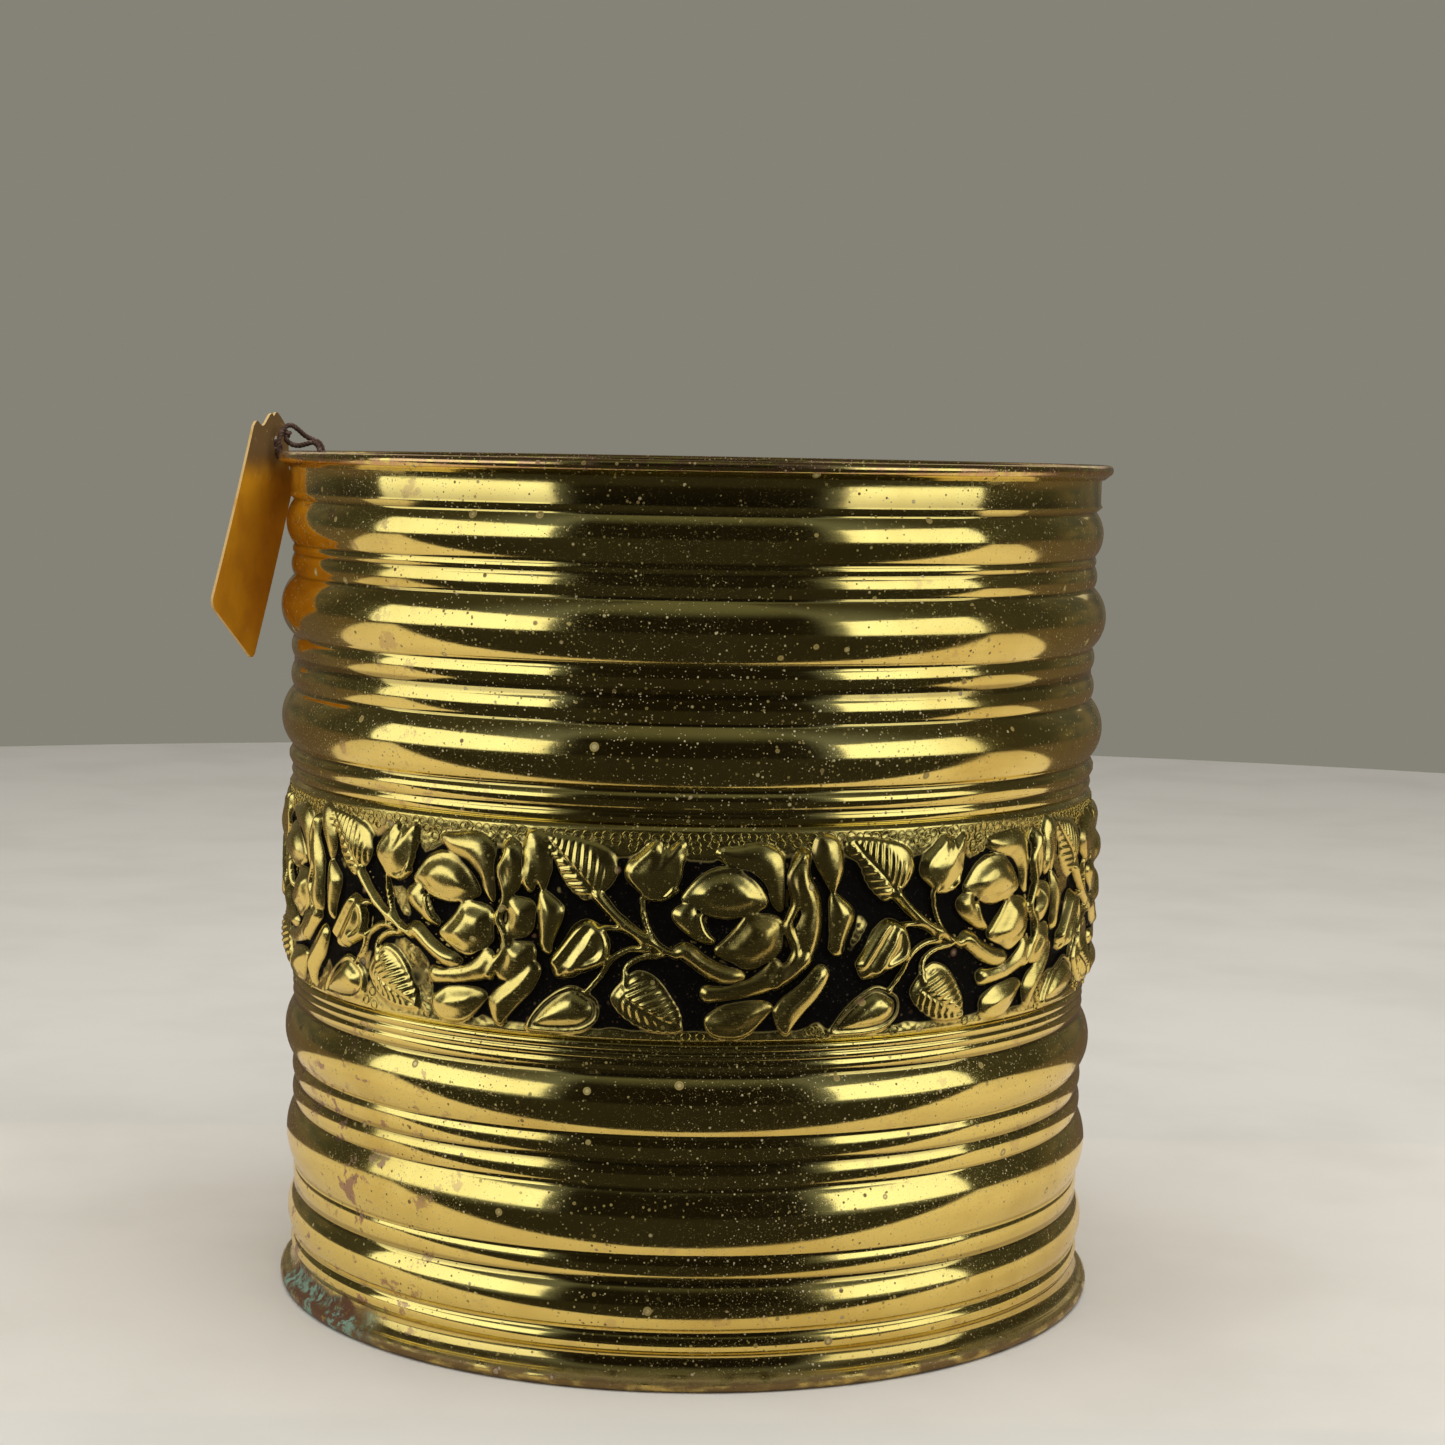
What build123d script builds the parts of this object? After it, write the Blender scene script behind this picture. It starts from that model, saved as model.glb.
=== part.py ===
from build123d import *

import math
import os

# Repousse brass wastebasket: a straight, slightly tapered drum of thin sheet, swaged with ribs
# above and below a plain band, its rim and foot rolled over wire, closed by a soldered bottom pan.
# A card swing tag hangs on a loop of waxed twine over the rim, a little behind the left side.
# Millimetres, +Z up, origin at the centre of the foot, front of the basket towards -Y.

# ---- driving dimensions -------------------------------------------------------------------------
HEIGHT = 260.0
RIM_RADIUS = 130.5
SHEET = 0.6                 # brass sheet thickness
VALLEY_TOP_RADIUS = 125.7   # outer radius of the valleys at the rim end
VALLEY_FOOT_RADIUS = 124.3  # outer radius of the valleys at the foot end

RIM_WIRE_RADIUS = 1.1
RIM_TAIL_ANGLE = -52.0      # where the rim's curl leaves the wire and tucks back to the neck
RIM_TAIL_LENGTH = 2.6
NECK_RADIUS = 126.9
NECK_TOP = 254.4
NECK_FOOT = 248.0
STEP_CROWN = (127.4, 246.9)  # radius and height of the crisp step under the neck

FOOT_RADIUS = 129.2
FOOT_WIRE_RADIUS = 1.6
FOOT_FLAT = 0.05            # how far the foot's roll is worn flat
FOOT_TAIL_ANGLE = -188.0
FLARE_TOP = 9.5
FLARE_SAG = (0.25, 0.42)    # where the flare's mid point lies, along its run out and its run down

BAND_TOP = 158.2
BAND_FOOT = 99.8
BAND_RADIUS = 126.4

# ribs from the rim down: top height, foot height, how far the crown stands out of the valley line
UPPER_RIBS = [
    (245.4, 231.6, 2.4),
    (231.6, 228.8, 0.5),
    (228.8, 222.0, 0.9),
    (222.0, 203.5, 4.0),
    (203.5, 197.0, 0.9),
    (195.0, 187.5, 1.0),
    (187.5, 169.2, 3.9),
    (169.2, 163.6, 1.7),
    (163.6, 159.6, 0.9),
]
LOWER_RIBS = [
    (98.6, 95.9, 0.8),
    (95.9, 93.5, 0.7),
    (93.5, 90.4, 0.7),
    (89.2, 71.8, 3.1),
    (71.8, 65.0, 0.9),
    (64.0, 57.2, 0.9),
    (57.2, 37.8, 2.8),
    (37.8, 31.2, 0.8),
    (29.8, 15.8, 2.5),
    (15.8, FLARE_TOP, 1.5),
]

PAN_TOP = 13.0
PAN_FLANGE_FOOT = 6.0
PAN_GAP = 0.05
PAN_BEADS = [(92.0, 4.0), (46.0, 3.0)]  # swaged circle: mean radius, half width
PAN_BEAD_RISE = 1.6
PAN_FILLET = [(0.0, 8.4), (0.42, 6.6), (0.0, 6.2)]  # its solder: beyond the flange, and height

LAP_ANGLE = 4.0             # overlap of the drum's back seam
SEAM_SOLDER_ANGLE = 1.2
SEAM_SOLDER_THICK = 0.5
SEAM_SOLDER_END = 1.0       # how far the run stops short of the pan and the neck

TAG_WIDTH = 38.6
TAG_SHOULDER = 62.4         # straight length of the sides
TAG_THICK = 0.8
TAG_PLANE = 131.2           # distance of its inner face from the basket's axis
TAG_TURN = 13.05            # how far behind the left side the tag faces
TAG_TILT = 29.9             # lean of the tag in its own plane, from upright
TAG_CORNER = (-43.4, 267.6)  # along the rim's tangent, and height, of the shoulder nearer the front
TAG_HOLE_RADIUS = 2.5
TAG_HOLE_RISE = 5.0         # hole centre, above the shoulder line
TAG_FOOT_ROUND = 3.0
TAG_CREST = [(1.7, 2.7), (6.8, 4.0), (10.4, 10.5), (13.2, 11.2), (14.9, 13.6)]  # half of its crest

TWINE_RADIUS = 0.7
TWINE_FOLD = 0.45           # how much of each run an arc at its end takes up
KNOT_RADIUS = 1.3
# the twine's centre line, from the knot outside the tag, over the rim, down inside and back
TWINE_ROUTE = [
    (-134.40, 6.40, 262.30),
    (-132.00, 5.80, 262.20),
    (-131.95, 3.90, 259.30),
    (-132.10, 1.80, 257.70),
    (-132.20, -0.40, 258.70),
    (-131.90, -1.70, 261.30),
    (-131.30, -0.80, 264.40),
    (-130.50, 1.30, 267.10),
    (-128.50, 3.50, 268.30),
    (-126.30, 5.20, 266.60),
    (-124.30, 6.30, 264.60),
    (-121.90, 6.90, 263.50),
    (-119.50, 6.90, 262.60),
    (-118.60, 6.60, 259.60),
    (-119.30, 6.20, 255.30),
    (-120.00, 5.40, 250.50),
    (-120.20, 3.90, 246.70),
    (-120.00, 1.60, 245.00),
    (-119.60, -0.70, 246.80),
    (-119.20, -1.00, 251.60),
    (-118.80, 0.20, 256.50),
    (-119.00, 1.60, 260.80),
    (-120.90, 2.50, 263.00),
    (-123.40, 3.10, 262.20),
    (-126.20, 3.10, 261.40),
    (-128.70, 2.50, 262.10),
    (-130.10, 1.70, 263.80),
    (-129.60, 2.90, 265.30),
]


def at(radius, height):
    """A point of a turned section."""
    return Vector(radius, 0, height)


def valley_radius(height):
    """Outer radius of the drum between its ribs."""
    return VALLEY_FOOT_RADIUS + (VALLEY_TOP_RADIUS - VALLEY_FOOT_RADIUS) * height / HEIGHT


def on_circle(centre, radius, degrees):
    """The point of a section's circle at an angle from straight out."""
    turn = math.radians(degrees)
    return at(centre.X + radius * math.cos(turn), centre.Z + radius * math.sin(turn))


def circle_arc(centre, radius, start, end):
    """An arc of a section between two angles."""
    middle = on_circle(centre, radius, (start + end) / 2)
    return ThreePointArc(on_circle(centre, radius, start), middle, on_circle(centre, radius, end))


def rib_edges(ribs, inset):
    """The ribs as arcs, from the top one down, with the flats between them."""
    edges = []
    last = None
    for top, foot, rise in ribs:
        start = at(valley_radius(top) - inset, top)
        end = at(valley_radius(foot) - inset, foot)
        middle = (top + foot) / 2
        if last is not None and (last - start).length > 1e-6:
            edges.append(Line(last, start))
        edges.append(ThreePointArc(start, at(valley_radius(middle) + rise - inset, middle), end))
        last = end
    return edges


def joined(edges):
    """The edges with a straight run across each gap between one and the next."""
    chain = []
    for edge in edges:
        if chain and (chain[-1] @ 1 - edge @ 0).length > 1e-6:
            chain.append(Line(chain[-1] @ 1, edge @ 0))
        chain.append(edge)
    return chain


def drum_edges(inset):
    """One face of the drum's sheet from the neck down to the flare, moved in by inset."""
    neck = Line(at(NECK_RADIUS - inset, NECK_TOP), at(NECK_RADIUS - inset, NECK_FOOT))
    crown = STEP_CROWN[0] - inset, STEP_CROWN[1]
    step = Line(neck @ 1, at(*crown))
    band = Line(at(BAND_RADIUS - inset, BAND_TOP), at(BAND_RADIUS - inset, BAND_FOOT))
    return joined([neck, step, *rib_edges(UPPER_RIBS, inset), band, *rib_edges(LOWER_RIBS, inset)])


def face_between(first, second):
    """The face between two chains of edges that run side by side."""
    ends = [Line(first[0] @ 0, second[0] @ 0), Line(first[-1] @ 1, second[-1] @ 1)]
    return make_face(Wire([*first, *second, *ends]))


def turned(face, angle=360.0, turn=0.0):
    """The face revolved about the basket's axis, starting at a turn from +X."""
    return Rot(0, 0, turn) * revolve(face, Axis.Z, revolution_arc=angle)


def rim_centre():
    """Centre of the wire in the rim."""
    roll = RIM_WIRE_RADIUS + SHEET
    return at(RIM_RADIUS - roll, HEIGHT - roll)


def foot_centre():
    """Centre of the wire in the foot."""
    roll = FOOT_WIRE_RADIUS + SHEET
    return at(FOOT_RADIUS - roll, roll - FOOT_FLAT)


def rim_curl_edges(radius):
    """One face of the rim's curl, from its tail round over the wire to the inside of the neck."""
    centre = rim_centre()
    leave = on_circle(centre, radius, RIM_TAIL_ANGLE)
    slope = math.radians(RIM_TAIL_ANGLE)
    tail = Vector(math.sin(slope), 0, -math.cos(slope)) * RIM_TAIL_LENGTH
    return [Line(leave + tail, leave), circle_arc(centre, radius, RIM_TAIL_ANGLE, 180.0)]


def foot_curl_edges(radius):
    """One face of the foot's curl, from over the wire out, under and up inside."""
    centre = foot_centre()
    if radius <= FOOT_WIRE_RADIUS:
        return [circle_arc(centre, radius, 90.0, FOOT_TAIL_ANGLE)]
    worn = math.degrees(math.asin(centre.Z / radius))
    return joined([
        circle_arc(centre, radius, 90.0, -worn),
        circle_arc(centre, radius, worn - 180.0, FOOT_TAIL_ANGLE),
    ])


def flare_edge(inset):
    """The foot's concave flare, from the last rib down to the top of the foot's roll."""
    centre = foot_centre()
    start = at(valley_radius(FLARE_TOP) - inset, FLARE_TOP)
    end = at(centre.X, centre.Z + FOOT_WIRE_RADIUS + SHEET - inset)
    out, down = FLARE_SAG
    middle = at(start.X + (end.X - start.X) * out, end.Z + (start.Z - end.Z) * down)
    return ThreePointArc(start, middle, end)


def drum_wall():
    """The drum: ribbed sheet with both edges rolled and a lapped seam at the back."""
    outside = [
        *rim_curl_edges(RIM_WIRE_RADIUS),
        *drum_edges(0.0),
        flare_edge(0.0),
        *foot_curl_edges(FOOT_WIRE_RADIUS + SHEET),
    ]
    inside = [
        *rim_curl_edges(RIM_WIRE_RADIUS + SHEET),
        *drum_edges(SHEET),
        flare_edge(SHEET),
        *foot_curl_edges(FOOT_WIRE_RADIUS),
    ]
    wall = turned(face_between(joined(outside), joined(inside)))
    lap = turned(face_between(drum_edges(0.0), drum_edges(-SHEET)), LAP_ANGLE, 90.0 - LAP_ANGLE / 2)
    return wall + lap


def seam_solder():
    """The run of solder along the seam's edge, inside the drum, from the pan to the neck."""
    face = face_between(drum_edges(SHEET), drum_edges(SHEET + SEAM_SOLDER_THICK))
    run = turned(face, SEAM_SOLDER_ANGLE, 90.0 + LAP_ANGLE / 2)
    length = NECK_TOP - PAN_TOP - 2 * SEAM_SOLDER_END
    keep = Pos(0, 0, (NECK_TOP + PAN_TOP) / 2) * Box(2 * RIM_RADIUS, 2 * RIM_RADIUS, length)
    return run & keep


def hoop(centre, radius):
    """A ring of round wire."""
    return Pos(0, 0, centre.Z) * Torus(centre.X, radius)


def pan_radius():
    """Outer radius of the pan's flange, just inside the drum's lowest valley."""
    return valley_radius(FLARE_TOP) - SHEET - PAN_GAP


def pan_edges(drop):
    """One face of the pan, from its middle out to the corner, a distance below its top."""
    level = PAN_TOP - drop
    chain = []
    inner = at(0, level)
    for radius, half in reversed(PAN_BEADS):
        start = at(radius - half, level)
        end = at(radius + half, level)
        chain += [Line(inner, start), ThreePointArc(start, at(radius, level + PAN_BEAD_RISE), end)]
        inner = end
    chain.append(Line(inner, at(pan_radius() - drop, level)))
    chain.append(Line(chain[-1] @ 1, at(pan_radius() - drop, PAN_FLANGE_FOOT)))
    return chain


def bottom_pan():
    """The floor of the basket: a disc with two swaged circles and its edge turned down."""
    return turned(face_between(pan_edges(0.0), pan_edges(SHEET)))


def pan_solder():
    """The fillet of solder between the pan's flange and the drum's flare."""
    corners = [at(pan_radius() + beyond, height) for beyond, height in PAN_FILLET]
    return turned(make_face(Polyline(*corners, close=True)))


def tag_frame():
    """The tag's own frame: origin at its front shoulder, X across it, Y up it, Z towards the axis."""
    turn = math.radians(TAG_TURN)
    inward = Vector(math.cos(turn), -math.sin(turn), 0)
    tangent = Vector(math.sin(turn), math.cos(turn), 0)
    tilt = math.radians(TAG_TILT)
    across = tangent * math.cos(tilt) - Vector(0, 0, math.sin(tilt))
    offset, height = TAG_CORNER
    origin = tangent * offset - inward * TAG_PLANE + Vector(0, 0, height)
    return Plane(origin=origin, x_dir=across, z_dir=inward)


def tag_outline():
    """The card's outline: straight sides and foot, and a crest that is the same both ways."""
    mirrored = [(TAG_WIDTH - x, y) for x, y in reversed(TAG_CREST)]
    top = Spline((0, 0), *TAG_CREST, *mirrored, (TAG_WIDTH, 0))
    sides = Polyline(
        (TAG_WIDTH, 0),
        (TAG_WIDTH, -TAG_SHOULDER),
        (0, -TAG_SHOULDER),
        (0, 0),
    )
    face = make_face([top, sides])
    return fillet(face.vertices().group_by(Axis.Y)[0], TAG_FOOT_ROUND)


def swing_tag():
    """The card tag, with the hole that its twine goes through."""
    card = extrude(tag_outline(), -TAG_THICK)
    hole = Pos(TAG_WIDTH / 2, TAG_HOLE_RISE) * Cylinder(TAG_HOLE_RADIUS, 3 * TAG_THICK)
    return tag_frame() * (card - hole)


def fold_radii(route):
    """The radius of the arc at each corner of a cord's route, as large as its runs allow."""
    radii = []
    for before, corner, after in zip(route, route[1:], route[2:]):
        run_in = Vector(*corner) - Vector(*before)
        run_out = Vector(*after) - Vector(*corner)
        half_turn = math.radians(run_in.get_angle(run_out)) / 2
        radii.append(TWINE_FOLD * min(run_in.length, run_out.length) / math.tan(half_turn))
    return radii


def tag_twine():
    """The waxed twine, as a tube of straight runs and tangent arcs."""
    radii = fold_radii(TWINE_ROUTE)
    print("twine radii", [round(radius, 1) for radius in radii])
    path = FilletPolyline(*TWINE_ROUTE, radius=radii)
    start = Plane(origin=path @ 0, z_dir=path % 0)
    tube = sweep(start * Circle(TWINE_RADIUS), path)
    section = math.pi * TWINE_RADIUS**2
    print("twine length", round(path.length, 1), "volume ratio", round(tube.volume / (section * path.length), 4))
    return tube


def knot(point):
    """A small overhand knot, as one rounded lump."""
    return Pos(*point) * Sphere(KNOT_RADIUS)


PIECES = {
    "drum_wall": drum_wall,
    "rim_wire": lambda: hoop(rim_centre(), RIM_WIRE_RADIUS),
    "foot_wire": lambda: hoop(foot_centre(), FOOT_WIRE_RADIUS),
    "seam_solder": seam_solder,
    "bottom_pan": bottom_pan,
    "pan_solder": pan_solder,
    "swing_tag": swing_tag,
    "tag_twine": tag_twine,
    "twine_knot": lambda: knot(TWINE_ROUTE[-1]),
    "tag_knot": lambda: knot(TWINE_ROUTE[0]),
}

os.makedirs("parts", exist_ok=True)
for name, make in PIECES.items():
    export_step(make(), f"parts/{name}.step")
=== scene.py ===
"""The looks of a repousse brass wastebasket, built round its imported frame.

Metres, +Z up, the front towards -Y. Sizes held by the classes are in millimetres, and angles in
degrees from the front, positive towards +X, unless their names say otherwise.
"""

import logging
import math
from dataclasses import dataclass
from enum import Enum
from typing import Sequence

import bmesh
import bpy
import numpy as np
from mathutils import Matrix


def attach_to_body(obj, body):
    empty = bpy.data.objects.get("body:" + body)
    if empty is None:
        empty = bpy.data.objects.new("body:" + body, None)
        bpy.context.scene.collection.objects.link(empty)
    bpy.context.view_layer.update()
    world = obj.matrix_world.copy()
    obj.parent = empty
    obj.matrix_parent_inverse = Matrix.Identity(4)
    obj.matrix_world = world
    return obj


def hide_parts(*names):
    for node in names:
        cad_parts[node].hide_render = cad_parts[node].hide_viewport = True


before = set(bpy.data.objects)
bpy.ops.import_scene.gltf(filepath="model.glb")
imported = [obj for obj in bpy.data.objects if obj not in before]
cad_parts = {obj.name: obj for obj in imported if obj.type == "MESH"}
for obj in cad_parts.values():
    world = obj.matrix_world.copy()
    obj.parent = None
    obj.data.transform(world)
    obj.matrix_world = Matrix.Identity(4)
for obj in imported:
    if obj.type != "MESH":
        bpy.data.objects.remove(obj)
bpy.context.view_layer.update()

MM = 0.001
log = logging.getLogger("wastebasket")

Colour = tuple[float, float, float, float]
Pair = tuple[float, float]


class Body(Enum):
    """The moving bodies of the frame."""

    BASKET = "basket"
    TAG = "tag"


class PetalColumn(Enum):
    """How the petals to the right of a rose are worked."""

    CURLED = "one tall curled petal"
    STACKED = "three short petals, one above another"


# ---- node trees -----------------------------------------------------------------------------------


class Signal:
    """An output of a node, which takes part in sums."""

    def __init__(self, graph: "Graph", socket: bpy.types.NodeSocket) -> None:
        """Keeps the tree and the socket."""
        self.graph = graph
        self.socket = socket

    def out(self, key: int | str) -> "Signal":
        """Another output of the same node."""
        return Signal(self.graph, self.socket.node.outputs[key])

    def _sum(self, operation: str, *values: "Signal | float") -> "Signal":
        """A Math node on these values."""
        return self.graph.add("ShaderNodeMath", {"operation": operation}, dict(enumerate(values)))

    def __add__(self, other: "Signal | float") -> "Signal":
        """self + other."""
        return self._sum("ADD", self, other)

    def __radd__(self, other: float) -> "Signal":
        """other + self."""
        return self._sum("ADD", other, self)

    def __sub__(self, other: "Signal | float") -> "Signal":
        """self - other."""
        return self._sum("SUBTRACT", self, other)

    def __rsub__(self, other: float) -> "Signal":
        """other - self."""
        return self._sum("SUBTRACT", other, self)

    def __mul__(self, other: "Signal | float") -> "Signal":
        """self * other."""
        return self._sum("MULTIPLY", self, other)

    def __rmul__(self, other: float) -> "Signal":
        """other * self."""
        return self._sum("MULTIPLY", other, self)

    def above(self, level: float) -> "Signal":
        """1 where the signal is above a level, else 0."""
        return self._sum("GREATER_THAN", self, level)

    def most(self, other: "Signal | float") -> "Signal":
        """The larger of two signals."""
        return self._sum("MAXIMUM", self, other)

    def ramp(self, low: float, high: float) -> "Signal":
        """0 at low and 1 at high, eased at both ends; low may be the larger."""
        settings = {"interpolation_type": "SMOOTHSTEP"}
        if low < high:
            inputs = {"Value": self, "From Min": low, "From Max": high, "To Min": 0.0, "To Max": 1.0}
        else:
            inputs = {"Value": self, "From Min": high, "From Max": low, "To Min": 1.0, "To Max": 0.0}
        return self.graph.add("ShaderNodeMapRange", settings, inputs)


class Graph:
    """A node tree that is built from expressions."""

    def __init__(self, tree: bpy.types.NodeTree) -> None:
        """Keeps the tree."""
        self.tree = tree

    def add(
        self,
        kind: str,
        settings: dict[str, object] | None = None,
        inputs: dict[int | str, object] | None = None,
        output: int | str = 0,
    ) -> Signal:
        """Adds one node.

        Args:
            kind: the node's type.
            settings: its properties, set first.
            inputs: values or signals for its sockets, by index or name.
            output: the socket to return.

        Returns:
            That output as a signal.
        """
        node = self.tree.nodes.new(kind)
        for name, value in (settings or {}).items():
            setattr(node, name, value)
        for key, value in (inputs or {}).items():
            if isinstance(value, Signal):
                self.tree.links.new(value.socket, node.inputs[key])
            else:
                node.inputs[key].default_value = value
        return Signal(self, node.outputs[output])

    def finish(self, geometry: Signal) -> None:
        """Makes a geometry the result of a Geometry Nodes tree."""
        end = self.tree.nodes.new("NodeGroupOutput")
        self.tree.links.new(geometry.socket, end.inputs[0])

    def place(self) -> Signal:
        """The point on the piece, in metres."""
        return self.add("ShaderNodeTexCoord", output="Object")

    def parts(self, vector: Signal) -> tuple[Signal, Signal, Signal]:
        """The three parts of a vector or colour."""
        split = self.add("ShaderNodeSeparateXYZ", inputs={0: vector})
        return split, split.out(1), split.out(2)

    def vector(self, x: Signal | float, y: Signal | float, z: Signal | float) -> Signal:
        """A vector from its parts."""
        return self.add("ShaderNodeCombineXYZ", inputs={0: x, 1: y, 2: z})

    def attribute(self, name: str) -> Signal:
        """A number stored on the mesh."""
        return self.add("ShaderNodeAttribute", {"attribute_name": name}, output="Fac")

    def mix(self, factor: Signal | float, first: Signal | Colour, second: Signal | Colour) -> Signal:
        """A blend of two colours."""
        settings = {"data_type": "RGBA"}
        return self.add("ShaderNodeMix", settings, {0: factor, 6: first, 7: second}, output=2)

    def noise(self, vector: Signal, scale: float, detail: float = 3.0, rough: float = 0.55) -> Signal:
        """Noise from 0 to 1, at so many features to the unit of the vector."""
        inputs = {"Vector": vector, "Scale": scale, "Detail": detail, "Roughness": rough}
        return self.add("ShaderNodeTexNoise", None, inputs)

    def spots(self, vector: Signal, scale: float, share: float, radius: float) -> Signal:
        """Round spots with soft edges, one at most in each cell.

        Args:
            vector: where to look.
            scale: cells to the unit of the vector.
            share: the part of the cells that hold a spot.
            radius: a spot's largest radius, in cells.

        Returns:
            1 in a spot and 0 outside.
        """
        near = self.add("ShaderNodeTexVoronoi", None, {"Vector": vector, "Scale": scale})
        pick, size, _ = self.parts(near.out("Color"))
        reach = near + size * (radius * 0.6)
        return pick.above(1.0 - share) * reach.ramp(radius, radius * 0.7)

    def bump(self, height: Signal, strength: float, distance: float) -> Signal:
        """A normal from a height, where a height of 1 stands out by distance in metres."""
        inputs = {"Height": height, "Strength": strength, "Distance": distance}
        return self.add("ShaderNodeBump", None, inputs)


class Finish:
    """A procedural finish. A subclass says what its shader's sockets get."""

    name = "finish"

    def sockets(self, graph: Graph) -> dict[str, object]:
        """Values and signals for the shader, by socket."""
        raise NotImplementedError

    def material(self) -> bpy.types.Material:
        """The finish as a material, made once."""
        made = bpy.data.materials.get(self.name)
        if made:
            return made
        made = bpy.data.materials.new(self.name)
        made.use_nodes = True
        shader = made.node_tree.nodes["Principled BSDF"]
        graph = Graph(made.node_tree)
        for key, value in self.sockets(graph).items():
            if isinstance(value, Signal):
                graph.tree.links.new(value.socket, shader.inputs[key])
            else:
                shader.inputs[key].default_value = value
        return made


# ---- finishes -------------------------------------------------------------------------------------


@dataclass(frozen=True)
class AgedBrass(Finish):
    """Polished yellow brass with patina in its hollows, specks, copper blotches and a tarnished foot."""

    name: str = "aged_brass"
    bright: Colour = (0.87, 0.74, 0.24, 1.0)
    deep: Colour = (0.72, 0.57, 0.16, 1.0)
    inner: Colour = (0.42, 0.30, 0.10, 1.0)
    copper: Colour = (0.44, 0.28, 0.18, 1.0)
    rim_copper: Colour = (0.70, 0.43, 0.25, 1.0)
    brown: Colour = (0.13, 0.075, 0.035, 1.0)
    black: Colour = (0.0035, 0.0030, 0.0022, 1.0)
    dust: Colour = (0.52, 0.45, 0.33, 1.0)
    verdigris: Colour = (0.22, 0.34, 0.26, 1.0)
    rust: Colour = (0.16, 0.080, 0.045, 1.0)
    rim_from: float = 256.4
    foot_to: float = 5.6

    def sockets(self, graph: Graph) -> dict[str, object]:
        """Colour, metal, roughness and bump of the sheet."""
        place = graph.place()
        x, y, z = graph.parts(place)
        height = z * (1 / MM)
        arc = graph.add("ShaderNodeMath", {"operation": "ARCTAN2"}, {0: x, 1: y * -1.0})
        turn = arc * math.degrees(1.0)
        hollow = graph.attribute("hollow")
        inside = graph.attribute("inside")

        cloud = graph.noise(place, 24.0, 4.0)
        film = cloud.ramp(0.42, 0.72)
        brush = graph.noise(graph.vector(turn * 0.12, 0.0, height * 5.5), 1.0, 2.0)
        fine = graph.noise(place, 900.0, 2.0)
        colour = graph.mix(film, self.bright, self.deep)
        worked = height.ramp(98.2, 100.5) * height.ramp(160.0, 157.6)
        hatch = graph.noise(graph.vector(turn * 6.0, 0.0, height * 0.45), 1.0, 2.0)
        rough = 0.062 + film * 0.045 + brush.ramp(0.35, 0.8) * 0.06 + worked * 0.14
        colour = graph.mix(inside, colour, self.inner)
        rough = rough + inside * 0.2

        left = turn.ramp(-22.0, -50.0) * (0.25 + turn.ramp(-120.0, -80.0) * 0.75)
        left_foot = left * (0.25 + height.ramp(120.0, 70.0) * 0.75)
        blotch = graph.noise(place, 120.0, 4.0, 0.62)
        patch = graph.noise(place, 30.0, 2.0)
        crest = graph.noise(graph.vector(turn * 0.35, 0.0, height * 0.30), 1.0, 3.0)
        copper = (blotch + left_foot * 0.04).ramp(0.60, 0.65) * patch.ramp(0.45, 0.58)
        copper = copper * (0.25 + left_foot * 0.75)
        copper = copper.most(left_foot * crest.ramp(0.60, 0.65) * blotch.ramp(0.48, 0.54))
        edge = height.ramp(self.rim_from, self.rim_from + 0.8)
        worn = edge * graph.noise(place, 260.0, 3.0).ramp(0.36, 0.58)
        colour = graph.mix(copper, colour, self.copper)
        colour = graph.mix(worn * 0.8, colour, self.rim_copper)
        rough = rough + copper * 0.22 + worn * 0.12

        # Darker towards the foot: over the lowest 10 mm the sheet takes up to half of the inside's colour.
        dim = height.ramp(10.5, 6.5) * 0.5
        colour = graph.mix(dim, colour, self.inner)
        foot = height.ramp(self.foot_to, self.foot_to - 2.6)
        stain = graph.noise(graph.vector(turn * 0.25, 0.0, height * 0.3), 1.0, 4.0)
        grime = foot * stain.ramp(0.30, 0.56)
        creep = height.ramp(9.0, 2.0) * stain.ramp(0.52, 0.66) * left
        grime = grime.most(creep)
        colour = graph.mix(grime * 0.88, colour, self.brown)

        corner = turn.ramp(-42.0, -52.0) * turn.ramp(-84.0, -72.0)
        corner = corner * (height + (stain - 0.5) * 16.0).ramp(12.0, 7.0)
        bloom = graph.noise(place, 330.0, 5.0, 0.7)
        rust = corner * bloom.ramp(0.36, 0.46)
        green = corner * bloom.ramp(0.56, 0.46) * graph.noise(place, 110.0, 3.0).ramp(0.46, 0.56)
        green = green * height.ramp(10.0, 7.0)
        colour = graph.mix(rust, colour, self.rust)
        colour = graph.mix(green, colour, self.verdigris)

        colour = graph.mix(hollow.ramp(0.05, 0.4) * 0.55, colour, self.brown)
        dark = (hollow + (blotch - 0.5) * 0.34).ramp(0.36, 0.60)
        colour = graph.mix(dark, colour, self.black)

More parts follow.
